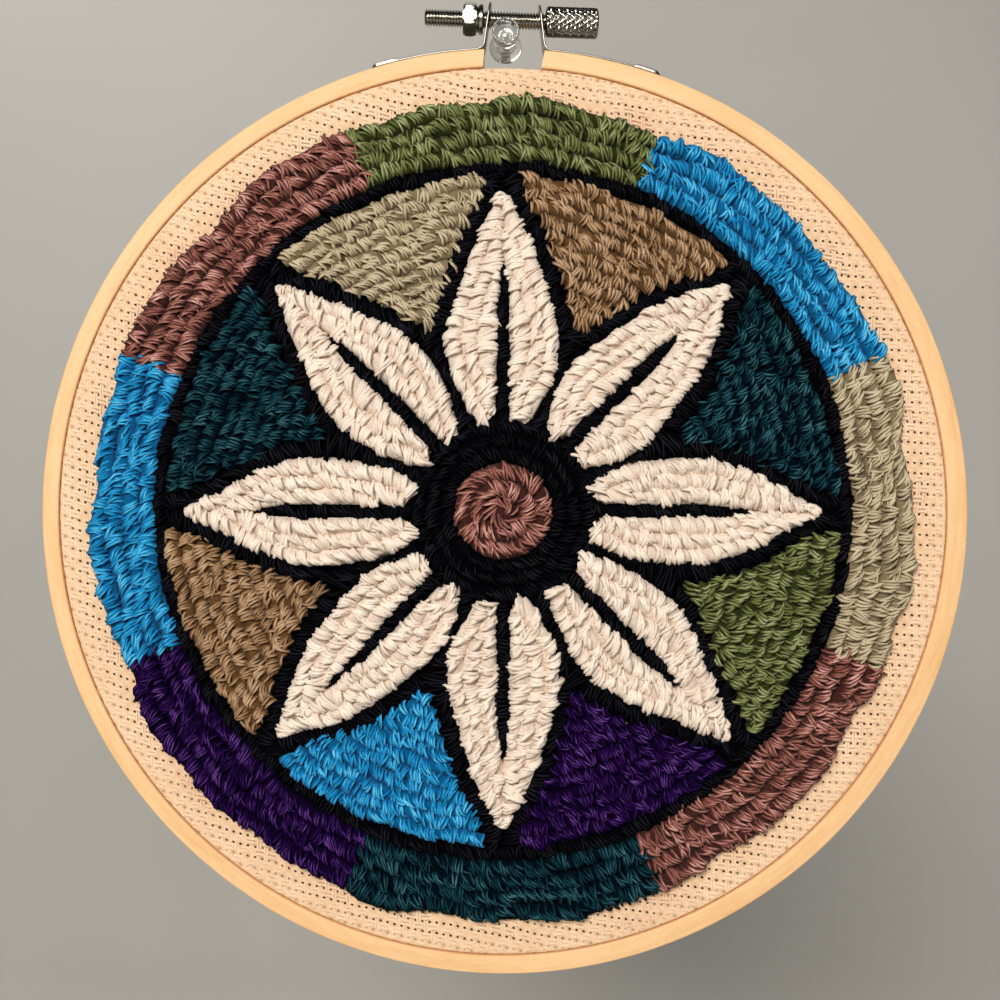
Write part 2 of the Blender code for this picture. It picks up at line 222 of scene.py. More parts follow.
def pieceFrom(name, bm, finish, sharp=None):
    mesh = bpy.data.meshes.new(name)
    bm.to_mesh(mesh)
    bm.free()
    mesh.shade_smooth()
    if sharp is not None:
        mesh.set_sharp_from_angle(angle=math.radians(sharp))
    mesh.materials.append(finish)
    made = bpy.data.objects.new(name, mesh)
    scene.collection.objects.link(made)
    return made


def loftRings(rings, closed=False, capped=True):
    # a skin through rings of as many points; an open row gets end caps
    bm = bmesh.new()
    made = [[bm.verts.new(p) for p in ring] for ring in rings]
    pairs = list(zip(made, made[1:]))
    if closed:
        pairs.append((made[-1], made[0]))
    for a, b in pairs:
        for i in range(len(a)):
            j = (i + 1) % len(a)
            bm.faces.new((a[i], a[j], b[j], b[i]))
    if capped and not closed:
        bm.faces.new(made[0])
        bm.faces.new(reversed(made[-1]))
    bmesh.ops.remove_doubles(bm, verts=bm.verts, dist=1e-6)
    bmesh.ops.recalc_face_normals(bm, faces=bm.faces)
    return bm


def meshFrom(objectWithModifiers, name):
    # the evaluated object as one plain mesh, in place of the one with modifiers
    graph = bpy.context.evaluated_depsgraph_get()
    mesh = bpy.data.meshes.new_from_object(objectWithModifiers.evaluated_get(graph))
    mesh.name = name
    made = bpy.data.objects.new(name, mesh)
    scene.collection.objects.link(made)
    bpy.data.objects.remove(objectWithModifiers)
    return made


def setInputs(modifier, values):
    for item in modifier.node_group.interface.items_tree:
        if item.in_out == "INPUT" and item.name in values:
            modifier[item.identifier] = values[item.name]


def newTree(name, inputs):
    tree = bpy.data.node_groups.new(name, "GeometryNodeTree")
    tree.interface.new_socket("Geometry", in_out="INPUT", socket_type="NodeSocketGeometry")
    for label, kind, value in inputs:
        socket = tree.interface.new_socket(label, in_out="INPUT", socket_type="NodeSocket" + kind)
        if value is not None:
            socket.default_value = value
    tree.interface.new_socket("Geometry", in_out="OUTPUT", socket_type="NodeSocketGeometry")
    entry = tree.nodes.new("NodeGroupInput")
    exitNode = tree.nodes.new("NodeGroupOutput")

    def take(label):
        return Wire(tree, entry.outputs[label])

    return tree, take, exitNode


def namedValue(start, name):
    return start.make("GeometryNodeInputNamedAttribute", {"data_type": "FLOAT"}, {"Name": name}, "Attribute")


def dressedLines(name, verts, edges, attribute, tree, inputs):
    # lines with one value at each point, which a tree turns into a plain mesh
    mesh = bpy.data.meshes.new(name + "Lines")
    mesh.from_pydata(verts, edges, [])
    label, values = attribute
    mesh.attributes.new(label, "FLOAT", "POINT").data.foreach_set("value", np.array(values, np.float32))
    holder = bpy.data.objects.new(name + "Lines", mesh)
    scene.collection.objects.link(holder)
    modifier = holder.modifiers.new("dressing", "NODES")
    modifier.node_group = tree
    setInputs(modifier, inputs)
    return meshFrom(holder, name)


# where the hoop and cloth stand, read from the frame
clothLow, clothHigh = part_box("ground_cloth")
ringLow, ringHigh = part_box("hoop_outer")
innerLow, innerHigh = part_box("hoop_inner")
middleX = (clothLow.x + clothHigh.x) / 2
middleZ = -0.1099  # the outer ring is open at the top, so no box gives this
ringX = (ringLow.x + ringHigh.x) / 2
clothFront = clothLow.y


# wood

woodFinish = {
    "pale": screenColour(245, 200, 147), "warm": screenColour(237, 187, 130),
    "line": screenColour(218, 160, 102), "poreShade": 0.35,
    "grainScale": 1100.0, "slowScale": 240.0, "poreScale": 2600.0, "grainStretch": 0.012, "poreStretch": 0.09,
}


def beechWood():
    look = woodFinish
    made, shader, start = newFinish("beechWood", {"Roughness": 0.5, "Specular IOR Level": 0.35})
    place = objectPlace(start)
    x, y, z = place.vector("SUBTRACT", place, (ringX, 0.0, middleZ)).parts()
    turn = start.maths("ARCTAN2", x, z * -1)
    radius = (x * x + z * z) ** 0.5

    def bentPlace(stretch):
        # changes slowly round the ring, so that the grain follows it
        return start.combined(turn * stretch, radius, y)

    grain = start.noise(bentPlace(look["grainStretch"]), look["grainScale"], 4.0, 0.6)
    slow = start.noise(bentPlace(look["grainStretch"]), look["slowScale"])
    pores = start.noise(bentPlace(look["poreStretch"]), look["poreScale"], 1.0)
    level = grain * 0.55 + slow * 0.45
    colour = start.ramp(level, ((0.22, look["line"]), (0.40, look["warm"]), (0.58, look["pale"])))
    dots = pores.within(0.66, 0.72) * look["poreShade"]
    plug(start.blendColours(dots, colour, (*look["line"], 1)), shader, "Base Color")
    plug(0.42 + grain * 0.2, shader, "Roughness")
    bumpInto(shader, grain + pores * 0.4, 0.25, 0.0001)
    return made


wood = beechWood()
hoopSizes = {
    "outside": 107.0 * mm, "between": 102.8 * mm, "inside": 97.4 * mm,
    "gapLeft": 4.8 * mm, "gapRight": 9.2 * mm, "ease": 0.4 * mm, "easeSteps": 4,
    "waver": 0.08 * mm, "steps": 264,
}


def ringSection(inside, outside, front, back):
    # (radius, y) round a rectangle with rounded corners
    ease, steps = hoopSizes["ease"], hoopSizes["easeSteps"]
    corners = (
        (outside - ease, front + ease, -90), (outside - ease, back - ease, 0),
        (inside + ease, back - ease, 90), (inside + ease, front + ease, 180),
    )
    points = []
    for r, y, first in corners:
        for i in range(steps + 1):
            turn = math.radians(first + 90 * i / steps)
            points.append((r + ease * math.cos(turn), y + ease * math.sin(turn)))
    return points


def outerHoop():
    s = hoopSizes
    start = math.pi / 2 + math.asin(s["gapLeft"] / s["outside"])
    end = math.tau + math.pi / 2 - math.asin(s["gapRight"] / s["outside"])
    section = ringSection(s["between"], s["outside"], clothFront, 0.0)
    halfway = (s["between"] + s["outside"]) / 2
    rings = []
    for i in range(s["steps"] + 1):
        turn = start + (end - start) * i / s["steps"]
        waver = abs(s["waver"] * math.sin(5 * turn + 1) * math.sin(2 * turn))
        ring = []
        for r, y in section:
            # the ring is a little thicker on one side: its two faces have their own middles
            outer = r > halfway
            x = ringX if outer else middleX
            grown = r - waver if outer else r
            ring.append((x + grown * math.cos(turn), y, middleZ + grown * math.sin(turn)))
        rings.append(ring)
    return pieceFrom("outerHoop", loftRings(rings), wood, sharp=50)


def innerHoop():
    s = hoopSizes
    section = ringSection(s["inside"], innerHigh.x - middleX, innerLow.y, 0.0)
    rings = []
    for i in range(s["steps"]):
        turn = math.tau * i / s["steps"]
        rings.append([(middleX + r * math.cos(turn), y, middleZ + r * math.sin(turn)) for r, y in section])
    return pieceFrom("innerHoop", loftRings(rings, closed=True), wood)


for made, node in ((outerHoop(), "hoop_outer"), (innerHoop(), "hoop_inner")):
    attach(made, "hoop")
    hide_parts(node)
print("hoop rings made")


# cloth

weave = {
    "warpPair": 1.62 * mm, "weftPair": 2.35 * mm, "warpRadius": 0.325 * mm, "weftRadius": 0.48 * mm,
    "warpApart": 0.60 * mm, "weftApart": 0.90 * mm, "flatten": 0.30, "wave": 0.075 * mm, "wobble": 0.3 * mm,
    "warpStep": 0.91 * mm, "weftStep": 0.70 * mm, "sides": 5, "lineStep": 0.4 * mm,
    "from": 91.5 * mm, "to": 104.2 * mm, "reach": 106.0 * mm, "tiltReach": 39.0 * mm,
    "tiltLeft": 0.34, "tiltEase": 0.42, "level": 17.8 * mm,
    "middle": clothFront + 0.42 * mm, "bendFrom": 102.0 * mm, "bendRadius": 0.45 * mm,
    "pucker": 0.9 * mm, "relief": 0.12 * mm, "puckerFrom": 80.0 * mm, "puckerTo": 101.5 * mm,
    "puckerFade": 6.0 * mm,
    "puckerWaves": ((9, 0.5, 1.0), (23, 0.35, 0.0), (41, 0.3, 2.0)),
}
sheetSizes = {"thick": 0.24 * mm, "skirtEnd": -1.0 * mm,
              "around": 192, "inFace": 12, "inBend": 5, "inSkirt": 3}
# the size of each hole and how much painted shade shows through it: all of it in some patches, less elsewhere,
# and less again where the inner ring's wood lies behind the cloth
weaveHoles = {"wide": 0.33 * mm, "tall": 0.27 * mm, "open": 0.7,
              "woodBehindFrom": 98.5 * mm, "woodBehindTo": 101.2 * mm, "closed": 0.6}
# the sheet's colours are a little darker than the threads', as cloth in the shade under them; the hole colour
# is painted shade, the dark space behind the cloth seen through each hole
clothColours = {
    "threadShade": screenColour(232, 186, 152), "thread": screenColour(246, 206, 168),
    "threadLight": screenColour(252, 222, 188), "sheetShade": screenColour(220, 178, 138),
    "sheetLight": screenColour(244, 208, 170), "hole": screenColour(44, 26, 15),
}


def cottonThread():
    c = clothColours
    made, shader, start = newFinish("cottonThread", {
        "Roughness": 0.92, "Specular IOR Level": 0.15, "Sheen Weight": 0.12})
    place = objectPlace(start)
    fibre = start.noise(place, 2400.0, 3.0, 0.65)
    patch = start.noise(place, 55.0)
    level = fibre * 0.5 + patch * 0.5
    colour = start.ramp(level, ((0.36, c["threadShade"]), (0.46, c["thread"]), (0.60, c["threadLight"])))
    plug(colour, shader, "Base Color")
    bumpInto(shader, fibre, 0.3, 0.00012)
    return made


threadFinish = cottonThread()


def basketWeave():
    # the sheet under the threads: plain cloth with a dark spot where four pairs meet, the painted shade of the
    # space behind each hole
    c, holes = clothColours, weaveHoles
    made, shader, start = newFinish("basketWeave", {"Roughness": 0.92, "Specular IOR Level": 0.12})
    across, up = attributeOf(start, "weaveAt", "Vector").parts()[:2]
    wide = across.maths("PINGPONG", across + 0.5, 0.5) * (weave["warpPair"] / holes["wide"])
    tall = up.maths("PINGPONG", up + 0.5, 0.5) * (weave["weftPair"] / holes["tall"])
    place = objectPlace(start)
    # less painted shade shows in the holes where the inner ring's wood lies behind the cloth
    woodBehind = distanceFrom(place, (middleX, 0.0, middleZ)).within(holes["woodBehindFrom"], holes["woodBehindTo"])
    patches = start.noise(place, 90.0, 1.0).within(0.34, 0.5)
    holeShadeShare = (patches * (1 - holes["open"]) + holes["open"]) * (1 - woodBehind * holes["closed"])
    # the dark spot in each hole is painted shade
    hole = (1 - ((wide * wide + tall * tall) ** 0.5).within(0.7, 1.25)) * holeShadeShare
    checks = (across * math.pi).sine() * (up * math.pi).sine()
    fibre = start.noise(place, 2200.0, 3.0, 0.65)
    level = checks * 0.2 + fibre * 0.6 + 0.2
    cloth = start.ramp(level, ((0.2, c["sheetShade"]), (0.7, c["sheetLight"])))
    plug(start.blendColours(hole, cloth, (*c["hole"], 1)), shader, "Base Color")
    bumpInto(shader, checks * 0.5 + fibre * 0.3 - hole, 0.5, 0.0003)
    return made


def bentOver(points):
    # cloth that runs past the inner ring's edge turns down its side
    middle = np.array((middleX, 0.0, middleZ))
    away = points - middle
    radius = np.hypot(away[:, 0], away[:, 2])
    past = radius - weave["bendFrom"]
    turn = np.clip(past / weave["bendRadius"], 0, math.pi / 2)
    extra = np.maximum(0, past - weave["bendRadius"] * math.pi / 2)
    height = weave["middle"] - points[:, 1]
    reach = weave["bendRadius"] + height
    newRadius = weave["bendFrom"] + reach * np.sin(turn)
    newY = weave["middle"] + weave["bendRadius"] - reach * np.cos(turn) + extra
    bent = past > 0
    scale = np.where(bent, newRadius / np.maximum(radius, 1e-9), 1.0)
    out = points.copy()
    out[:, 0] = middle[0] + away[:, 0] * scale
    out[:, 2] = middle[2] + away[:, 2] * scale
    out[bent, 1] = newY[bent]
    return out


def weftDrop(x):
    # how far a weft thread that starts level at the left has sloped down by here
    span = 210.0 * mm
    share = np.clip((x - middleX) / span + 0.5, 0, 1)
    return -weave["tiltLeft"] * span * (share - share * share * weave["tiltEase"])


def weftCells(x, z):
    # how many pairs of weft a place lies above the middle one
    return (z - middleZ - weftDrop(x) - weave["level"]) / weave["weftPair"]


def puckered(points):
    # the stitches pull the cloth's grain about; the pull fades at the ring
    w = weave
    away = points - np.array((middleX, 0.0, middleZ))
    radius = np.hypot(away[:, 0], away[:, 2])
    turn = np.arctan2(away[:, 0], away[:, 2])
    fade = np.clip((w["puckerTo"] - radius) / w["puckerFade"], 0, 1)
    fade *= np.clip((radius - w["puckerFrom"]) / w["puckerFade"], 0, 1)
    waves = sum(share * np.sin(count * turn + phase) for count, share, phase in w["puckerWaves"])
    pull = w["pucker"] * fade * waves
    out = points.copy()
    out[:, 0] += pull * np.sin(turn)
    out[:, 2] += pull * np.cos(turn)
    out[:, 1] -= w["relief"] * fade * np.sin(31 * turn + 1) * np.sin(radius / mm * 0.9)
    return out


def vertexPlaces(mesh):
    points = np.empty(len(mesh.vertices) * 3)
    mesh.vertices.foreach_get("co", points)
    return points.reshape(-1, 3)


def moveVertices(mesh, mover):
    mesh.vertices.foreach_set("co", mover(vertexPlaces(mesh)).ravel())
    mesh.update()


def groundSheet():
    # the thin middle of the cloth; the woven threads lie round it
    s = sheetSizes
    face = weave["bendFrom"]
    reach = face + weave["bendRadius"] * math.pi / 2
    drop = s["skirtEnd"] - (weave["middle"] + weave["bendRadius"])
    radii = [i / s["inFace"] * face for i in range(1, s["inFace"] + 1)]
    radii += [face + i / s["inBend"] * (reach - face) for i in range(1, s["inBend"] + 1)]
    radii += [reach + i / s["inSkirt"] * drop for i in range(1, s["inSkirt"] + 1)]
    steps = s["around"]
    turns = [math.tau * i / steps for i in range(steps)]
    bm = bmesh.new()
    edges = []
    for y in (weave["middle"] - s["thick"] / 2, weave["middle"] + s["thick"] / 2):
        pole = bm.verts.new((middleX, y, middleZ))
        rings = [[bm.verts.new((middleX + r * math.cos(t), y, middleZ + r * math.sin(t))) for t in turns]
                 for r in radii]
        for i in range(steps):
            j = (i + 1) % steps
            bm.faces.new((pole, rings[0][i], rings[0][j]))
            for a, b in zip(rings, rings[1:]):
                bm.faces.new((a[i], b[i], b[j], a[j]))
        edges.append(rings[-1])
    front, back = edges
    for i in range(steps):
        j = (i + 1) % steps
        bm.faces.new((front[i], front[j], back[j], back[i]))
    bmesh.ops.recalc_face_normals(bm, faces=bm.faces)
    made = pieceFrom("groundCloth", bm, basketWeave())
    points = vertexPlaces(made.data)
    cells = np.zeros_like(points)
    cells[:, 0] = (points[:, 0] - middleX) / weave["warpPair"]
    cells[:, 1] = weftCells(points[:, 0], points[:, 2])
    made.data.attributes.new("weaveAt", "FLOAT_VECTOR", "POINT").data.foreach_set("vector", cells.ravel())
    moveVertices(made.data, puckered)
    moveVertices(made.data, bentOver)
    return made


def threadTree():
    tree, take, exitNode = newTree("wovenThreads", (
        ("Step", "Float", 0.0006), ("Radius", "Float", 0.0004), ("Wave", "Float", 0.00015),
        ("Flatten", "Float", 0.4), ("Sides", "Int", 6), ("Middle", "Float", 0.0),
        ("Material", "Material", None)))
    start = Wire(tree)
    curves = start.make("GeometryNodeMeshToCurve", {}, {"Mesh": take("Geometry")})
    curves = start.make("GeometryNodeResampleCurve", {"mode": "LENGTH"}, {
        "Curve": curves, "Length": take("Step")})
    phase = namedValue(start, "phase")
    rise = phase.maths("COSINE", phase) * take("Wave")
    place = start.make("GeometryNodeInputPosition")
    wobble = start.jitter(place, 330.0)
    wobble = wobble.vector("MULTIPLY", wobble, (weave["wobble"], 0.0, weave["wobble"]))
    curves = curves.moved(wobble.vector("ADD", wobble, start.combined(y=rise)))
    curves = curves.stored("rise", rise + take("Middle"))
    profile = start.make("GeometryNodeCurvePrimitiveCircle", {}, {
        "Resolution": take("Sides"), "Radius": take("Radius")})
    skin = start.make("GeometryNodeCurveToMesh", {}, {
        "Curve": curves, "Profile Curve": profile, "Fill Caps": True})
    y = place.parts()[1]
    skin = skin.moved(start.combined(y=(namedValue(start, "rise") - y) * (1 - take("Flatten"))))
    skin = start.make("GeometryNodeSetShadeSmooth", {}, {"Geometry": skin})
    skin = start.make("GeometryNodeRealizeInstances", {}, {"Geometry": skin})
    skin = start.make("GeometryNodeSetMaterial", {}, {"Geometry": skin, "Material": take("Material")})
    tree.links.new(skin.socket, exitNode.inputs[0])
    return tree


def annulusRuns(points):
    # the stretches of a line that lie in the cloth's open border
    radius = np.hypot(points[:, 0] - middleX, points[:, 1] - middleZ)
    inside = (radius > weave["from"]) & (radius < weave["to"])
    runs, run = [], []
    for i, kept in enumerate(inside):
        if kept:
            run.append(i)
        elif run:
            runs.append(run)
            run = []
    if run:
        runs.append(run)
    return [r for r in runs if len(r) > 2]


def threadLines(kind):
    # the middle line of every thread of the warp or weft, and where each is in its wave
    lines, phases = [], []
    reach = weave["reach"]
    along = np.arange(-reach, reach, weave["lineStep"])
    pair, apart = weave[kind + "Pair"], weave[kind + "Apart"]
    extent = reach + (weave["tiltReach"] if kind == "weft" else 0.0)
    for k in range(int(-extent / pair), int(extent / pair) + 1):
        for half in (-0.5, 0.5):
            at = k * pair + half * apart
            if kind == "warp":
                x = np.full_like(along, middleX + at)
                z = middleZ + along
                phase = math.pi * (weftCells(x, z) + k)
            else:
                x = middleX + along
                z = middleZ + at + weftDrop(x) + weave["level"]
                phase = math.pi * ((x - middleX) / weave["warpPair"] + k + 1)
            points = np.stack([x, z], 1)
            for run in annulusRuns(points):
                lines.append(points[run])
                phases.append(phase[run])
    return lines, phases


def wovenThreads(kind, tree):
    lines, phases = threadLines(kind)
    verts, edges, values = [], [], []
    for line, phase in zip(lines, phases):
        first = len(verts)
        verts += [(x, weave["middle"], z) for x, z in line]
        edges += [(first + i, first + i + 1) for i in range(len(line) - 1)]
        values += list(phase)
    made = dressedLines(kind + "Threads", verts, edges, ("phase", values), tree, {
        "Step": weave[kind + "Step"], "Radius": weave[kind + "Radius"], "Wave": weave["wave"],
        "Flatten": weave["flatten"], "Sides": weave["sides"], "Middle": weave["middle"],
        "Material": threadFinish})
    moveVertices(made.data, puckered)
    moveVertices(made.data, bentOver)
    return made


cloth = groundSheet()
threads = threadTree()
threadPieces = [wovenThreads(kind, threads) for kind in ("warp", "weft")]
for made in (cloth, *threadPieces):
    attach(made, "hoop")
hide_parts("ground_cloth")
print("cloth and its threads made:", [len(p.data.polygons) for p in threadPieces], "faces")


# yarn

rosette = {
    "petals": 8, "pileRadius": 94.0 * mm, "heart": 11.0 * mm, "petalStart": 21.0 * mm, "petalEnd": 74.0 * mm,
    "petalHalf": 12.5 * mm, "petalRoot": 14.0 * mm, "outline": 4.2 * mm,
    "ribHalf": 1.5 * mm, "ribEnd": 60.0 * mm,
    "bandStart": 77.0 * mm, "bandEnd": 80.3 * mm,
    "kites": ("taupe", "teal", "moss", "purple", "blue", "taupe", "teal", "sage"),
    "rims": ("moss", "blue", "sage", "mauve", "teal", "purple", "blue", "mauve"),
}
sector = math.tau / rosette["petals"]

# each yarn's dark, middle and light colour: the finish paints the dark one at the plies' ends and sides and on
# the cores between loops, as painted shade, and the light one along the plies' tops, as painted highlight
yarnColours = {
    "moss": ((36, 42, 7), (81, 86, 45), (138, 146, 110)),
    "blue": ((2, 80, 124), (11, 109, 153), (94, 168, 206)),
    "taupe": ((84, 56, 28), (125, 98, 70), (164, 142, 120)),
    "teal": ((0, 9, 17), (6, 35, 42), (54, 92, 98)),
    "sage": ((118, 102, 76), (148, 135, 110), (162, 151, 131)),
    "purple": ((10, 1, 28), (25, 3, 49), (94, 60, 118)),
    "mauve": ((56, 28, 24), (112, 67, 57), (190, 150, 142)),
    "black": ((1, 1, 3), (4, 4, 7), (30, 30, 38)),
    "cream": ((188, 170, 154), (230, 211, 194), (248, 230, 213)),
}
yarnShapes = {
    "field": {"Ply spacing": 0.84 * mm, "Ply radius": 0.41 * mm, "Plies per loop": 4, "Loop height": 4.5 * mm,
              "Lean": 0.5, "Lean spread": 0.42, "Fan": 0.35, "Ply jitter": 0.22, "Unevenness": 0.55 * mm,
              "Bow": 0.45 * mm, "Shift": 0.6 * mm, "Stray": 0.5 * mm, "Pinch": 1.5 * mm,
              "Under spacing": 2.1 * mm},
    "cream": {"Ply spacing": 0.68 * mm, "Ply radius": 0.47 * mm, "Plies per loop": 4, "Loop height": 4.9 * mm,
              "Lean": 0.55, "Lean spread": 0.36, "Fan": 0.25, "Ply jitter": 0.14, "Unevenness": 0.5 * mm,
              "Bow": 0.35 * mm, "Shift": 0.35 * mm, "Stray": 0.2 * mm, "Pinch": 1.5 * mm,
              "Under spacing": 6.0 * mm},
    "black": {"Ply spacing": 0.95 * mm, "Ply radius": 0.44 * mm, "Plies per loop": 4, "Loop height": 3.8 * mm,
              "Lean": 0.5, "Lean spread": 0.4, "Fan": 0.3, "Ply jitter": 0.25, "Unevenness": 0.5 * mm,
              "Bow": 0.35 * mm, "Shift": 0.4 * mm, "Stray": 0.4 * mm, "Pinch": 1.0 * mm,
              "Under spacing": 6.0 * mm, "Core share": 0.74},
}
everyYarn = {
    "Loop width": 3.6 * mm, "Ply steps": 6, "Ply sides": 4, "Core share": 0.62, "Core step": 2.4 * mm,
    "Cloth level": weave["middle"], "Back depth": 1.25 * mm,
    "Stitch half": 1.6 * mm, "Stitch radius": 0.78 * mm, "Stitch dip": 0.8 * mm,
}
# gain brightens a yarn's middle and light colours; depth sets how strongly light and shade are painted along
# the plies, as painted highlight on their tops and painted shade at their ends; fuzz is the sheen's weight
yarnLooks = {
    "field": {"gain": 1.9, "depth": 0.8, "fuzz": 0.05},
    "cream": {"gain": 1.08, "depth": 0.3, "fuzz": 0.05},
    "black": {"gain": 1.3, "depth": 0.8, "fuzz": 0.0},
    "teal": {"gain": 1.9, "depth": 0.8, "fuzz": 0.0},
    "purple": {"gain": 1.9, "depth": 0.8, "fuzz": 0.0},
}
rowSizes = {
    "field": 2.95 * mm, "cream": 3.3 * mm, "petalRows": 5, "rimRows": 4, "petalStep": 1.2 * mm,
    "kiteStep": 1.5 * mm, "outlineStep": 1.4 * mm, "kiteGap": 0.5 * mm, "edge": 0.2 * mm, "lap": 0.1 * mm,
}


# a ramp colour made linear and brightened by gain: the yarn's dye in the middle, painted shade and painted
# highlight at the ramp's ends
def dyeAndPaintedLight(shade, gain):
    return tuple(min(0.93, c * gain) for c in screenColour(*shade))


def yarnFinish(name, shades):
    look = yarnLooks.get(name, yarnLooks["field"])
    made, shader, start = newFinish("yarn" + name.capitalize(), {
        "Roughness": 0.95, "Specular IOR Level": 0.06, "Sheen Weight": look["fuzz"], "Sheen Roughness": 0.6})
    # crown is 1 along the top of each ply and strand runs along it; they place the painted highlight and
    # painted shade below
    strand, tone, crown = (attributeOf(start, label) for label in ("strand", "tone", "crown"))
    # each ply takes its own stretch of the fibre pattern
    lie = attributeOf(start, "lie", "Vector")
    fibre = start.noise(lie.vector("ADD", lie, start.combined(y=tone * 40, z=tone * 70)), 1.7, 3.0, 0.65)
    dye = start.noise(objectPlace(start), 240.0)
    arch = (strand * math.pi).sine()
    depth = look["depth"]
    # each ply's top is painted lighter and its sides and ends darker, so every ply and stitch carries painted
    # highlight and painted shade; the cores, which have no crown, are painted dark
    level = (crown ** 1.8) * arch * depth + (1 - depth) * 0.5 + (tone - 0.5) * 0.2
    level = level + (fibre - 0.5) * 0.9 + (dye - 0.5) * 0.5 + (arch - 0.8) * 0.3 * depth
    dark, middle, light = shades
    colour = start.ramp(level, (
        (0.05, dyeAndPaintedLight(dark, 1.2)), (0.38, dyeAndPaintedLight(middle, look["gain"])), (0.74, dyeAndPaintedLight(light, look["gain"]))))
    plug(colour, shader, "Base Color")
    bumpInto(shader, fibre, 0.5, 0.0002)
    return made


yarnFinishes = {name: yarnFinish(name, shades) for name, shades in yarnColours.items()}


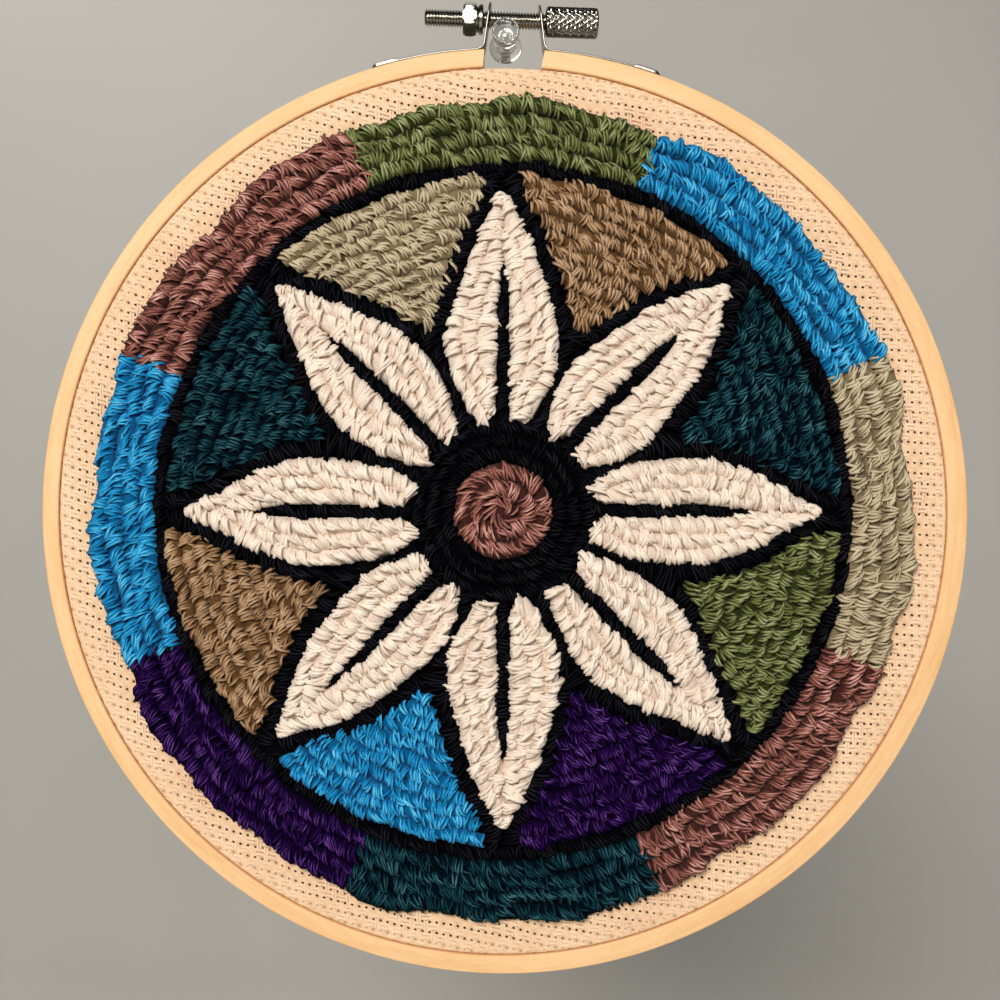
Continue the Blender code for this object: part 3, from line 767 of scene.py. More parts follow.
def yarnTree():
    tree, take, exitNode = newTree("yarnLoops", (
        ("Ply spacing", "Float", 0.0008), ("Ply radius", "Float", 0.0004), ("Plies per loop", "Int", 4),
        ("Loop width", "Float", 0.0036), ("Loop height", "Float", 0.0044), ("Lean", "Float", 0.4),
        ("Lean spread", "Float", 0.5), ("Fan", "Float", 0.3), ("Unevenness", "Float", 0.0004),
        ("Bow", "Float", 0.0004), ("Shift", "Float", 0.0005), ("Stray", "Float", 0.0005),
        ("Ply jitter", "Float", 0.2), ("Pinch", "Float", 0.001), ("Under spacing", "Float", 0.001),
        ("Ply steps", "Int", 6), ("Ply sides", "Int", 4), ("Core share", "Float", 0.62),
        ("Core step", "Float", 0.0024), ("Cloth level", "Float", 0.0), ("Back depth", "Float", 0.00125),
        ("Stitch half", "Float", 0.0016), ("Stitch radius", "Float", 0.00078), ("Stitch dip", "Float", 0.0008),
        ("Seed", "Int", 7), ("Material", "Material", None)))
    start = Wire(tree)
    out = (0.0, -1.0, 0.0)
    inwards = (0.0, 1.0, 0.0)
    rows = start.make("GeometryNodeMeshToCurve", {}, {"Mesh": take("Geometry")})
    width = namedValue(start, "rowWidth")
    tangent = start.make("GeometryNodeInputTangent")
    place = start.make("GeometryNodeInputPosition")
    index = start.make("GeometryNodeInputIndex")
    sideways = tangent.vector("CROSS_PRODUCT", tangent, out)

    def chance(low, high, key, shift):
        values = {"Min": low, "Max": high, "ID": key, "Seed": take("Seed") + shift}
        return start.make("FunctionNodeRandomValue", {"data_type": "FLOAT"}, values, "Value")

    def resampled(length):
        return start.make("GeometryNodeResampleCurve", {"mode": "LENGTH"}, {"Curve": rows, "Length": length})

    def turnedTo(outward, angle, tip=0.0, tilt=0.0):
        spin = start.make("FunctionNodeAxisAngleToRotation", {}, {"Axis": outward, "Angle": angle})
        along = start.make("FunctionNodeRotateVector", {}, {"Vector": tangent, "Rotation": spin})
        up = start.vector("ADD", tangent.scaled(tip), sideways.scaled(tilt))
        return start.make("FunctionNodeAxesToRotation", {"primary_axis": "Z", "secondary_axis": "X"}, {
            "Primary Axis": up.vector("ADD", up, outward), "Secondary Axis": along})

    def straight(first, last, count):
        line = start.make("GeometryNodeCurvePrimitiveLine", {}, {"Start": first, "End": last})
        return line.make("GeometryNodeResampleCurve", {"mode": "COUNT"}, {"Curve": line, "Count": count})

    def tube(curve, radius, sides, scale=1.0):
        profile = start.make("GeometryNodeCurvePrimitiveCircle", {}, {"Resolution": sides, "Radius": radius})
        return start.make("GeometryNodeCurveToMesh", {}, {
            "Curve": curve, "Profile Curve": profile, "Scale": scale, "Fill Caps": True})

    # one ply, arched across its row; its ends are thinner than its crown
    share = start.make("GeometryNodeSplineParameter", output="Factor")
    swing = share * (math.pi - 0.24) + 0.12
    across = swing.maths("COSINE", swing) * take("Loop width") * -0.5
    rise = (swing.sine() ** 0.78) * (take("Loop height") - take("Ply radius"))
    arch = start.make("GeometryNodeSetPosition", {}, {
        "Geometry": straight((0, 0, 0), (0, 1, 0), take("Ply steps")),
        "Position": start.combined(swing.sine() * take("Bow"), across, rise)})
    # strand runs from 0 to 1 along the ply; the finish paints its ends darker, as painted shade
    arch = arch.stored("strand", share)
    ply = tube(arch, take("Ply radius"), take("Ply sides"), 0.75 + swing.sine() * 0.25)
    # crown is 1 along the ply's top and 0 at its sides: the finish paints a highlight along the top and shade
    # at the sides, as painted highlight and painted shade between plies
    facing = start.make("GeometryNodeInputNormal").parts()[0]
    ply = ply.stored("crown", 1 - facing.maths("ABSOLUTE", facing))
    ply = ply.stored("lie", place.vector("MULTIPLY", place, (2600.0, 260.0, 0.0)), "FLOAT_VECTOR")

    # plies stand along the rows in loops that share a lean; a lower layer fills in under them
    loop = index / take("Plies per loop")
    loop = loop.maths("FLOOR", loop)
    within = index / take("Plies per loop") - loop
    drift = start.noise(place, 66.0, 1.0) - 0.5
    pinch = (within - 0.375) * take("Pinch")
    stir = start.jitter(place, 160.0)
    stir = stir.vector("MULTIPLY", stir, (1.0, 0.0, 1.0)).scaled(take("Shift") * 2)

    def layer(spacing, first, tallest, spread, brightest):
        lean = take("Lean") + drift * 4.6 * take("Lean spread")
        lean = lean + chance(-1.0, 1.0, loop, first) * take("Lean spread") * spread
        lean = lean + (within - 0.4) * take("Fan") + chance(-1.0, 1.0, index, first + 1) * take("Ply jitter")
        tip = chance(-0.25, 0.25, loop, first + 2) + pinch / take("Loop height") * 0.6
        tilt = chance(-0.25, 0.25, loop, first + 3)
        wide = width / take("Loop width") * chance(1.1, 1.35, loop, first + 4)
        wide = wide * chance(0.88, 1.12, index, first + 5)
        tall = chance(0.86, 1.03, loop, first + 6) * chance(0.92, 1.05, index, first + 7) * tallest
        apart = chance(-0.5, 0.5, loop, first + 8) * take("Shift")
        apart = apart + chance(-0.5, 0.5, index, first + 9) * take("Stray")
        offset = stir.vector("ADD", stir, sideways.scaled(apart))
        offset = stir.vector("ADD", tangent.scaled(pinch * -1), offset)
        plies = start.make("GeometryNodeInstanceOnPoints", {}, {
            "Points": resampled(spacing).moved(offset), "Instance": ply,
            "Rotation": turnedTo(out, lean, tip, tilt), "Scale": start.combined(1.0, wide, tall)})
        tone = (chance(0.0, 0.7, loop, first + 10) + chance(0.0, 0.3, index, first + 11)) * brightest
        return plies.stored("tone", tone, domain="INSTANCE")

    loops = layer(take("Ply spacing"), 20, 1.0, 1.0, 1.0)
    # the lower layer's tones reach only half as high, so it is painted darker: painted shade under the loops
    # above it
    under = layer(take("Under spacing"), 40, 0.86, 1.6, 0.5)

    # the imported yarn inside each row, cut off flat inside the cloth
    thick = width * take("Core share")
    sunk = take("Loop height") - thick - take("Ply radius") * 3.8
    core = tube(resampled(take("Core step")).moved(start.combined(y=sunk * -1)), 1.0, 6, thick)
    x, y, z = place.parts()
    level = y.maths("MINIMUM", y, take("Cloth level"))
    core = core.make("GeometryNodeSetPosition", {}, {
        "Geometry": core, "Position": start.combined(x, level, z)})
    # the core has no crown and a low strand value, so the finish paints it dark: painted shade in the gaps
    # between loops, mottled by the noise
    core = core.stored("strand", start.noise(place, 500.0) * 0.55)
    core = core.stored("lie", place.scaled(1500.0), "FLOAT_VECTOR")

    # flat running stitches behind the cloth
    half = take("Stitch half")
    bar = straight(start.combined(half * -1), start.combined(half), 4)
    dip = (swing.sine() * 0.9 - 0.55) * take("Stitch dip")
    bar = bar.moved(start.combined(z=dip)).stored("strand", share)
    pace = take("Ply spacing") * take("Plies per loop")
    back = start.make("GeometryNodeInstanceOnPoints", {}, {
        "Points": resampled(pace).moved(start.combined(y=take("Back depth"))),
        "Instance": tube(bar, take("Stitch radius"), 4),
        "Rotation": turnedTo(inwards, chance(-0.16, 0.16, index, 10)),
        "Scale": start.combined(chance(0.92, 1.08, index, 9), 1.0, 0.5)})
    back = back.stored("tone", chance(0.3, 1.0, index, 11), domain="INSTANCE")

    join = tree.nodes.new("GeometryNodeJoinGeometry")
    for part in (loops, under, core, back):
        tree.links.new(part.socket, join.inputs[0])
    whole = start.make("GeometryNodeRealizeInstances", {}, {"Geometry": Wire(tree, join.outputs[0])})
    whole = whole.moved(start.jitter(place, 420.0, 2.0).scaled(take("Unevenness") * 2))
    whole = start.make("GeometryNodeSetShadeSmooth", {}, {"Geometry": whole})
    whole = start.make("GeometryNodeSetMaterial", {}, {"Geometry": whole, "Material": take("Material")})
    tree.links.new(whole.socket, exitNode.inputs[0])
    return tree


def petalHalf(radius, petal):
    if radius >= rosette["petalEnd"]:
        return 0.0
    share = max(0.0, (radius - rosette["petalRoot"]) / (rosette["petalEnd"] - rosette["petalRoot"]))
    uneven = 1 + 0.05 * math.sin(1.7 * petal + 0.2 * radius / mm)
    return rosette["petalHalf"] * math.sin(math.pi * share ** 0.85) * uneven


def ribHalf(radius):
    return rosette["ribHalf"] * min(1.0, max(0.0, (rosette["ribEnd"] - radius) / (12 * mm)))


def halfTurn(width, radius):
    return math.asin(min(1.0, max(0.0, width) / radius))


def outlineTurn(radius, petal):
    return min(sector / 2, halfTurn(petalHalf(radius, petal) + rosette["outline"], radius))


def stepsOf(low, high, step):
    count = max(1, round((high - low) / step))
    return [low + (high - low) * i / count for i in range(count + 1)]


def unbroken(entries):
    # the runs of a row between its gaps; an entry is (radius, turn, width) or None
    runs, run = [], []
    for entry in entries:
        if entry is None:
            runs.append(run)
            run = []
        else:
            run.append(entry)
    runs.append(run)
    return [r for r in runs if len(r) > 1]


def petalRows(petal):
    # rows from the petal's edge inwards, on both sides of its rib, and one down the middle of its tip
    pitch, edge = rowSizes["cream"], rowSizes["edge"]
    rows = []
    radii = stepsOf(rosette["petalStart"] + 0.6 * mm, rosette["petalEnd"] - 0.8 * mm, rowSizes["petalStep"])
    for side in (-1, 1):
        for k in range(rowSizes["petalRows"]):
            entries = []
            for radius in radii:
                outer = petalHalf(radius, petal) - edge
                inner = ribHalf(radius) + (edge if ribHalf(radius) > 0 else 0)
                left = outer - inner - k * pitch
                if left < 0.5 * pitch:
                    entries.append(None)
                    continue
                width = left if left < 1.5 * pitch else pitch
                centre = outer - k * pitch - width / 2
                entries.append((radius, petal * sector + side * halfTurn(centre, radius), width))
            rows += unbroken(entries)
    outerPart = rosette["petalRoot"] + 30 * mm
    tip = [r for r in radii if 0.7 * mm < petalHalf(r, petal) < 0.75 * pitch and r > outerPart]
    rows += unbroken([(r, petal * sector, 2 * petalHalf(r, petal)) for r in tip])
    return rows


def kiteRows(petal):
    # rows across the field, from the outer band inwards, a little bowed and uneven
    pitch, gap = rowSizes["field"], rowSizes["kiteGap"]
    following = (petal + 1) % rosette["petals"]
    rows = []
    radius = rosette["bandStart"] + rowSizes["lap"] - pitch / 2
    k = 0
    while radius > rosette["petalStart"]:
        wave = 0.5 * mm * math.sin(0.5 * k + petal)
        low = outlineTurn(radius, petal) + gap / radius
        high = sector - outlineTurn(radius, following) - gap / radius
        if (high - low) * radius > 1.0 * mm:
            row = []
            for turn in stepsOf(low, high, rowSizes["kiteStep"] / radius):
                wobble = wave * math.sin(9 * turn + 0.5 * k) + 0.35 * mm * math.sin(31 * turn + 0.9 * k)
                inward = -0.6 * mm * math.sin(math.pi * (turn - low) / (high - low))
                row.append((radius + wobble + inward + 0.3 * mm, petal * sector + turn, pitch))
            rows.append(row)
        radius -= pitch
        k += 1
    return rows


def rimRows(petal):
    start = rosette["bandEnd"] - rowSizes["lap"]
    count = rowSizes["rimRows"]
    low = (petal - 0.5) * sector
    high = (petal + 0.5) * sector
    rows = []
    for k in range(count):
        row = []
        for turn in stepsOf(low + 0.003, high - 0.003, 0.018):
            uneven = 0.7 * mm * math.sin(11 * turn + 1) + 0.5 * mm * math.sin(26 * turn)
            whole = rosette["pileRadius"] + uneven - start
            wobble = 0.35 * mm * math.sin(17 * turn + 1.9 * k)
            row.append((start + whole * (k + 0.5) / count + wobble, turn, whole / count))
        rows.append(row)
    return rows


def ringRow(radius, width, steps=72):
    return [(radius, math.tau * i / steps, width) for i in range(steps + 1)]


def heartRows():
    pitch = rosette["heart"] / 3
    return [ringRow(pitch * (k + 0.5), pitch) for k in range(3)]


def outlineRows():
    start = rosette["heart"] + 0.2 * mm
    pitch = (rosette["petalStart"] - start) / 3
    rows = [ringRow(start + pitch * (k + 0.5), pitch) for k in range(3)]
    bandWidth = rosette["bandEnd"] - rosette["bandStart"]
    rows.append(ringRow(rosette["bandStart"] + bandWidth / 2, bandWidth, 288))
    radii = stepsOf(rosette["petalStart"], rosette["bandStart"] - 0.5 * mm, rowSizes["outlineStep"])
    for petal in range(rosette["petals"]):
        rows.append([(r, petal * sector, 2 * ribHalf(r)) for r in radii if ribHalf(r) > 0.5 * mm])
        shared = []
        for radius in radii:
            spare = sector / 2 - halfTurn(petalHalf(radius, petal), radius)
            if outlineTurn(radius, petal) >= sector / 2:
                shared.append((radius, (petal + 0.5) * sector, 2 * spare * radius))
        rows += unbroken(shared)
        for side in (-1, 1):
            entries = []
            for radius in radii:
                outer = outlineTurn(radius, petal)
                inner = halfTurn(petalHalf(radius, petal), radius)
                merged = outer >= sector / 2
                entries.append(None if merged else (
                    radius, petal * sector + side * (inner + outer) / 2, (outer - inner) * radius))
            rows += unbroken(entries)
    return rows


def yarnPiece(name, node, rows, colour, tree, seed):
    verts, edges, widths = [], [], []
    base = clothFront + 0.1 * mm
    for row in rows:
        first = len(verts)
        verts += [(middleX + r * math.sin(a), base, middleZ + r * math.cos(a)) for r, a, w in row]
        edges += [(first + i, first + i + 1) for i in range(len(row) - 1)]
        widths += [w for r, a, w in row]
    shape = yarnShapes.get(colour, yarnShapes["field"])
    made = dressedLines(name, verts, edges, ("rowWidth", widths), tree, {
        **everyYarn, **shape, "Seed": seed, "Material": yarnFinishes[colour]})
    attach(made, "hoop")
    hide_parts(node)
    return made


loopsTree = yarnTree()
yarnPieces = [
    yarnPiece("heartYarn", "pile_heart", heartRows(), "mauve", loopsTree, 11),
    yarnPiece("outlineYarn", "pile_outline", outlineRows(), "black", loopsTree, 12),
]
for petal in range(rosette["petals"]):
    number = str(petal + 1)
    for kind, rowsOf, colour, seed in (("petal", petalRows, "cream", 20),
                                       ("kite", kiteRows, rosette["kites"][petal], 40),
                                       ("rim", rimRows, rosette["rims"][petal], 60)):
        yarnPieces.append(yarnPiece(kind + "Yarn" + number, "pile_" + kind + "_" + number, rowsOf(petal),
                                    colour, loopsTree, seed + petal))
yarnFaces = [sum(len(p.vertices) - 2 for p in piece.data.polygons) for piece in yarnPieces]
print("yarn made:", len(yarnPieces), "pieces,", sum(yarnFaces), "triangles, at most", max(yarnFaces))


# metal

def plate(name, pale, roughness, streak):
    made, shader, start = newFinish(name, {"Metallic": 1.0})
    place = objectPlace(start)
    smudge = start.noise(place, 420.0, 3.0, 0.6)
    fine = start.noise(place, 3000.0, 2.0, 0.6)
    colour = start.ramp(smudge, ((0.35, tuple(c * 0.8 for c in pale)), (0.65, pale)))
    plug(colour, shader, "Base Color")
    plug(roughness + smudge * 0.14, shader, "Roughness")
    bumpInto(shader, fine + smudge, streak, 0.00004)
    return made


nickel = plate("nickelPlate", (0.50, 0.48, 0.42), 0.15, 0.2)
strapMetal = plate("strapPlate", (0.40, 0.385, 0.34), 0.30, 0.3)

# the line that the screw turns about
rodTilt = math.radians(2.0)
rodAt = Vector((0, -4.75 * mm, 5.1 * mm))
rodAlong = Vector((math.cos(rodTilt), 0, -math.sin(rodTilt)))
rodUp = Vector((math.sin(rodTilt), 0, math.cos(rodTilt)))
rodSide = Vector((0, 1, 0))


def aboutRod(x, radius, turn):
    # a point beside the screw's axis; turn 0 is on top
    return rodAt + rodAlong * x + rodUp * (radius * math.cos(turn)) + rodSide * (radius * math.sin(turn))


threadSizes = {"start": -18.9 * mm, "end": 19.6 * mm, "radius": 2.0 * mm, "depth": 0.52 * mm,
               "pitch": 0.70 * mm, "sides": 24, "perTurn": 7, "tip": 0.35 * mm, "flat": 1.35}


def threadedRod():
    s = threadSizes
    count = int((s["end"] - s["start"]) / s["pitch"] * s["perTurn"])
    rings = []
    for i in range(count + 1):
        x = s["start"] + (s["end"] - s["start"]) * i / count
        toTip = min(x - s["start"], s["end"] - x)
        limit = s["radius"] - max(0.0, s["tip"] - toTip)
        ring = []
        for j in range(s["sides"]):
            share = (x / s["pitch"] - j / s["sides"]) % 1.0
            crest = 0.5 + 0.5 * math.cos(math.tau * (share - 0.5))
            radius = s["radius"] - s["depth"] * (1 - min(1.0, crest * s["flat"]))
            ring.append(aboutRod(x, min(radius, limit), math.tau * j / s["sides"]))
        rings.append(ring)
    return pieceFrom("threadedRod", loftRings(rings), nickel, sharp=45)


knobSizes = {"start": 9.3 * mm, "length": 12.4 * mm, "radius": 3.5 * mm, "bore": 2.3 * mm, "ease": 0.4 * mm,
             "lip": 0.15 * mm, "depth": 0.40 * mm, "around": 16, "pitch": 1.9 * mm,
             "steep": 2.6, "sharp": 1.6, "fade": 0.4 * mm, "sides": 128, "step": 0.17 * mm}


def knurledKnob():
    s = knobSizes
    end = s["start"] + s["length"]
    inside = threadSizes["end"] + 0.3 * mm
    face = s["radius"] - s["ease"] - s["lip"]
    turns = [math.tau * j / s["sides"] for j in range(s["sides"])]

    def plain(x, radius):
        return [aboutRod(x, radius, t) for t in turns]

    rings = [plain(inside, 0.0), plain(inside, s["bore"]),
             plain(s["start"], s["bore"]), plain(s["start"], face)]
    first, last = s["start"] + s["ease"], end - s["ease"]
    count = int((last - first) / s["step"])
    for i in range(count + 1):
        x = first + (last - first) * i / count
        fade = min(1.0, (x - first) / s["fade"], (last - x) / s["fade"])
        ring = []
        for turn in turns:
            # two sets of grooves that cross; the ridges between them stand up
            a = (x / s["pitch"] + turn * s["around"] / math.tau) % 1.0
            b = (x / s["pitch"] - turn * s["around"] / math.tau) % 1.0
            valley = min(1.0, s["steep"] * min(abs(a - 0.5), abs(b - 0.5))) ** s["sharp"]
            valley = valley * (0.35 + 0.65 * fade)
            ring.append(aboutRod(x, s["radius"] - s["depth"] * valley, turn))
        rings.append(ring)
    rings += [plain(end, face), plain(end, 0.0)]
    return pieceFrom("knurledKnob", loftRings(rings, capped=False), nickel, sharp=35)


nutSizes = {"start": -9.9 * mm, "length": 3.1 * mm, "flats": 7.0 * mm, "bore": 2.3 * mm,
            "shoulderEnd": -5.25 * mm, "shoulder": 3.5 * mm, "waist": 3.0 * mm, "steps": 96}


def hexNut():
    # six flats whose corners are turned off to a cone at both ends, then the waisted shoulder
    s = nutSizes
    end = s["start"] + s["length"]
    corner = s["flats"] / math.sqrt(3)
    apothem = s["flats"] / 2

    def hexRadius(turn, most):
        off = (turn + math.pi / 6) % (math.pi / 3) - math.pi / 6
        return min(apothem / math.cos(math.pi / 6 - abs(off)), most)

    turns = [math.tau * j / s["steps"] for j in range(s["steps"])]
    profile = [(s["start"], s["bore"], False), (s["start"], apothem - 0.25 * mm, False)]
    for i in range(7):
        share = i / 6
        x = s["start"] + s["length"] * share
        most = corner - 0.45 * mm * abs(2 * share - 1) ** 4
        profile.append((x, most, True))
    profile += [
        (end, s["waist"], False), (end + 0.25 * mm, s["waist"] - 0.05 * mm, False),
        (end + 0.45 * mm, s["waist"] + 0.1 * mm, False), (end + 0.6 * mm, s["shoulder"] - 0.1 * mm, False),
        (end + 0.75 * mm, s["shoulder"], False), (s["shoulderEnd"] - 0.2 * mm, s["shoulder"], False),
        (s["shoulderEnd"], s["shoulder"] - 0.2 * mm, False), (s["shoulderEnd"], s["bore"], False),
    ]
    rings = []
    for x, radius, flats in profile:
        rings.append([aboutRod(x, hexRadius(t, radius) if flats else radius, t) for t in turns])
    return pieceFrom("hexNut", loftRings(rings, closed=True), nickel, sharp=24)


strapSizes = {"thick": 0.48 * mm, "width": 8.4 * mm, "claw": 6.6 * mm, "clawThick": 0.95 * mm,
              "clawRise": 0.25 * mm, "clawTip": 1.6 * mm, "gap": 0.06 * mm, "roll": 0.2 * mm,
              "bend": 1.8 * mm, "round": 3.2 * mm, "bore": 2.4 * mm}
# side, the corner's x, the tip's x and z, and the length that lies on the ring
straps = {"strapLeft": (-1, -5.0 * mm, -3.3 * mm, 119.0 * mm, 24.9 * mm),
          "strapRight": (1, 9.3 * mm, 8.0 * mm, 118.4 * mm, 26.0 * mm)}


def strapLine(side, cornerX, tipX, tipZ, length):
    # points along the strap's middle line, about the outer ring's centre
    s = strapSizes
    radius = hoopSizes["outside"] + s["gap"] + s["thick"] / 2
    cornerTurn = math.asin(abs(cornerX) / radius)

    def onRing(turn):
        return Vector((side * radius * math.sin(turn), 0, radius * math.cos(turn)))

    corner, tip = onRing(cornerTurn), Vector((tipX, 0, tipZ))
    up = (tip - corner).normalized()
    top = corner + up * s["bend"]
    bendEnd = cornerTurn + s["bend"] / radius
    points = [tip + (top - tip) * (i / 12) for i in range(12)]
    for i in range(9):
        t = i / 8
        points.append(top * (1 - t) ** 2 + corner * 2 * t * (1 - t) + onRing(bendEnd) * t ** 2)
    points += [onRing(bendEnd + length * i / 60 / radius) for i in range(1, 61)]
    return points


def hoopStrap(name):
    s = strapSizes
    side = straps[name][0]
    points = strapLine(*straps[name])
    last = len(points) - 1
    shift = Vector((ringX, rodAt.y, middleZ))
    distances = [0.0]
    for a, b in zip(points, points[1:]):
        distances.append(distances[-1] + (b - a).length)
    total = distances[-1]
    rings = []
    for i, point in enumerate(points):
        along = (points[min(i + 1, last)] - points[max(i - 1, 0)]).normalized()
        out = Vector((-along.z, 0, along.x)) * side
        near, far = distances[i], total - distances[i]
        half = s["width"] / 2
        half *= math.sqrt(max(0.05, 1 - max(0.0, 1 - near / s["round"]) ** 2))
        half *= math.sqrt(max(0.15, 1 - max(0.0, 1 - far / (0.5 * s["round"])) ** 2))
        # the claw's end is folded back on itself, and thins towards the tip
        fold = min(1.0, max(0.0, (s["claw"] - far) / s["clawRise"]), max(0.12, far / s["clawTip"]))
        top = s["thick"] / 2 + (s["clawThick"] - s["thick"]) * fold
        low = -s["thick"] / 2
        outline = []
        for o, y, turn in ((low, -half, 180), (low, half, 90), (top, half, 0), (top, -half, 270)):
            inO = o + s["roll"] * (1 if o == low else -1)
            inY = y + s["roll"] * (1 if y < 0 else -1)
            for step in (90, 60, 30, 0):
                angle = math.radians(turn + step)
                outline.append((inO + s["roll"] * math.cos(angle), inY + s["roll"] * math.sin(angle)))
        rings.append([shift + point + out * o + Vector((0, y, 0)) for o, y in outline])
    made = pieceFrom(name, loftRings(rings), strapMetal)
    cutter = bmesh.new()
    bmesh.ops.create_cone(cutter, cap_ends=True, segments=40, depth=0.08,
                          radius1=s["bore"], radius2=s["bore"])
    cutter.transform(rodAlong.to_track_quat("Z", "Y").to_matrix().to_4x4())
    cutter.transform(Matrix.Translation(rodAt))
    tool = pieceFrom(name + "Cutter", cutter, strapMetal)
    hole = made.modifiers.new("bore", "BOOLEAN")
    hole.operation = "DIFFERENCE"
    hole.solver = "EXACT"
    hole.object = tool
    cut = meshFrom(made, name)
    bpy.data.objects.remove(tool)
    cut.data.shade_smooth()
    cut.data.set_sharp_from_angle(angle=math.radians(35))
    return cut


metalPieces = (
    (threadedRod(), "tension_screw", "thumb_screw"), (knurledKnob(), "screw_knob", "thumb_screw"),
    (hexNut(), "hex_nut", "hoop"),
    (hoopStrap("strapLeft"), "strap_left", "hoop"), (hoopStrap("strapRight"), "strap_right", "hoop"),
)
for made, node, body in metalPieces:
    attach(made, body)
    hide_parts(node)
print("metal pieces made")


# push pin

pinSizes = {"needle": 0.6 * mm, "bore": 0.9 * mm, "inBody": 7.0 * mm, "inWall": 9.0 * mm, "neck": 2.8 * mm,
            "head": 3.15 * mm, "flange": 3.85 * mm, "dish": 0.62 * mm, "rim": 0.7 * mm, "steps": 72,
            "frost": (2.2 * mm, 2.6 * mm), "frostBack": (-12.1 * mm, -11.8 * mm)}


def turnedAboutPin(profile):
    turns = [math.tau * j / pinSizes["steps"] for j in range(pinSizes["steps"])]
    rings = [[(r * math.cos(t), y, r * math.sin(t)) for t in turns] for r, y in profile]
    return loftRings(rings, capped=False)


def clearPlastic():
    made, shader, start = newFinish("clearPlastic", {
        "Roughness": 0.06, "IOR": 1.49, "Transmission Weight": 1.0, "Specular IOR Level": 0.6})
    place = objectPlace(start)
    haze = start.noise(place, 900.0, 3.0, 0.6)
    # the dish in the head is a little less clear than the sides
    radius = distanceFrom(place, (0.0, 0.0, 0.0))
    frosted = (1 - radius.within(*pinSizes["frost"])) * (1 - place.parts()[1].within(*pinSizes["frostBack"]))
    plug(start.ramp(haze, ((0.3, (0.70, 0.70, 0.68)), (0.7, (0.86, 0.86, 0.84)))), shader, "Base Color")
    plug(0.04 + haze * 0.08 + frosted * 0.12, shader, "Roughness")
    bumpInto(shader, haze, 0.15, 0.0001)
    return made


def pinBody():
    s = pinSizes
    profile = [
        (0.0, -7.3 * mm), (s["bore"], -7.3 * mm), (s["bore"], -0.4 * mm), (s["flange"] - 0.4 * mm, -0.4 * mm),
        (s["flange"] - 0.1 * mm, -0.55 * mm), (s["flange"], -0.85 * mm), (s["flange"] - 0.15 * mm, -1.15 * mm),
        (s["flange"] - 0.6 * mm, -1.4 * mm), (0.84 * s["neck"], -1.9 * mm), (0.82 * s["neck"], -2.4 * mm),
        (0.88 * s["neck"], -3.1 * mm), (0.97 * s["neck"], -4.1 * mm), (s["neck"], -4.9 * mm),
        (s["neck"], -8.0 * mm),
        (s["neck"] + 0.05 * mm, -9.5 * mm), (s["head"] - 0.05 * mm, -11.2 * mm), (s["head"], -11.8 * mm),
        (s["head"], -12.75 * mm), (s["head"] - 0.08 * mm, -13.0 * mm), (s["head"] - 0.25 * mm, -13.15 * mm),
        (s["head"] - 0.45 * mm, -13.15 * mm), (s["head"] - 0.62 * mm, -13.02 * mm),
    ]
    dish = s["head"] - s["rim"]
    profile += [(dish * i / 6, -13.0 * mm + s["dish"] * (1 - (i / 6) ** 2)) for i in range(6, -1, -1)]
    return pieceFrom("pinBody", turnedAboutPin(profile), clearPlastic(), sharp=50)


def pinNeedle():
    s = pinSizes
    profile = [(0.0, -s["inBody"]), (s["needle"], -s["inBody"]), (s["needle"], s["inWall"] - 2.0 * mm),
               (0.5 * s["needle"], s["inWall"] - 0.9 * mm), (0.0, s["inWall"])]
    return pieceFrom("pinNeedle", turnedAboutPin(profile), nickel, sharp=50)


for made, node, slotName in ((pinBody(), "pin_body", "clear_plastic"), (pinNeedle(), "pin_needle", "steel")):
    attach(made, "hoop")
    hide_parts(node)
print("push pin made")


# stage and light

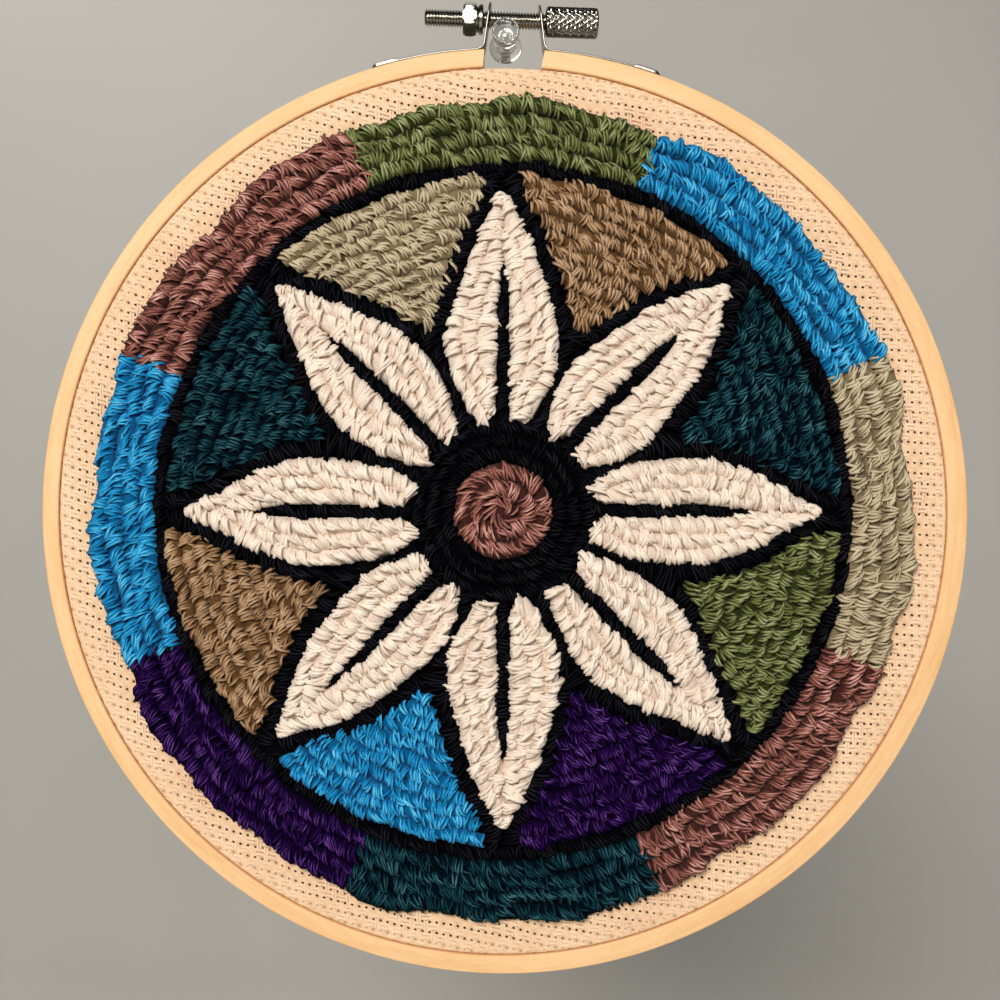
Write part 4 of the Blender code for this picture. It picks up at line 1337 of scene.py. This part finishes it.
stageSizes = {"floor": -0.70, "wall": 0.75, "bend": 0.22, "half": 3.0, "front": -3.0, "top": 3.0}
roomLight = {"colour": (0.80, 0.84, 0.90, 1), "strength": 0.28}
coolWhite = (0.94, 0.97, 1.0)
lamps = {
    "keyLight": {"place": (-0.24, -1.22, 0.36), "size": (0.56, 0.36), "power": 16.0,
                 "colour": (1.0, 0.97, 0.92), "mirrored": True},
    "lowFill": {"place": (-0.5, -1.2, -0.8), "size": (1.2, 1.2), "power": 1.5, "colour": coolWhite,
                "mirrored": False},
    "rightFill": {"place": (1.1, -1.0, 0.1), "size": (1.2, 1.2), "power": 1.5, "colour": coolWhite,
                  "mirrored": False},
    "backLight": {"place": (-0.4, 0.65, 0.7), "size": (0.8, 0.8), "power": 9.0, "colour": (1.0, 1.0, 1.0),
                  "mirrored": False},
}


def backdrop():
    s = stageSizes
    line = [(s["front"], s["floor"]), (s["wall"] - s["bend"], s["floor"])]
    for i in range(1, 13):
        turn = math.pi / 2 * i / 12
        line.append((s["wall"] - s["bend"] + s["bend"] * math.sin(turn),
                     s["floor"] + s["bend"] - s["bend"] * math.cos(turn)))
    line.append((s["wall"], s["top"]))
    bm = bmesh.new()
    rows = [[bm.verts.new((x, y, z)) for y, z in line] for x in (-s["half"], s["half"])]
    for i in range(len(line) - 1):
        bm.faces.new((rows[0][i], rows[1][i], rows[1][i + 1], rows[0][i + 1]))
    bmesh.ops.recalc_face_normals(bm, faces=bm.faces)
    made, shader, start = newFinish("paleGround", {"Roughness": 0.9, "Specular IOR Level": 0.1})
    tint = start.noise(objectPlace(start), 3.0, 2.0)
    plug(start.ramp(tint, ((0.3, (0.53, 0.505, 0.455)), (0.7, (0.58, 0.555, 0.505)))), shader, "Base Color")
    pieceFrom("backdrop", bm, made)


def addLamp(name, lamp):
    data = bpy.data.lights.new(name, "AREA")
    data.shape = "ELLIPSE"
    data.size, data.size_y = lamp["size"]
    data.energy = lamp["power"]
    data.color = lamp["colour"]
    made = bpy.data.objects.new(name, data)
    made.location = lamp["place"]
    target = Vector((0.0, 0.0, middleZ))
    made.rotation_euler = (target - Vector(lamp["place"])).to_track_quat("-Z", "Y").to_euler()
    made.visible_glossy = lamp["mirrored"]
    scene.collection.objects.link(made)


def lightTheStage():
    world = bpy.data.worlds.new("softRoom")
    world.use_nodes = True
    background = world.node_tree.nodes["Background"]
    background.inputs["Color"].default_value = roomLight["colour"]
    background.inputs["Strength"].default_value = roomLight["strength"]
    scene.world = world
    world.cycles_visibility.glossy = False
    for name, lamp in lamps.items():
        addLamp(name, lamp)


backdrop()
lightTheStage()
print("stage and lights made")
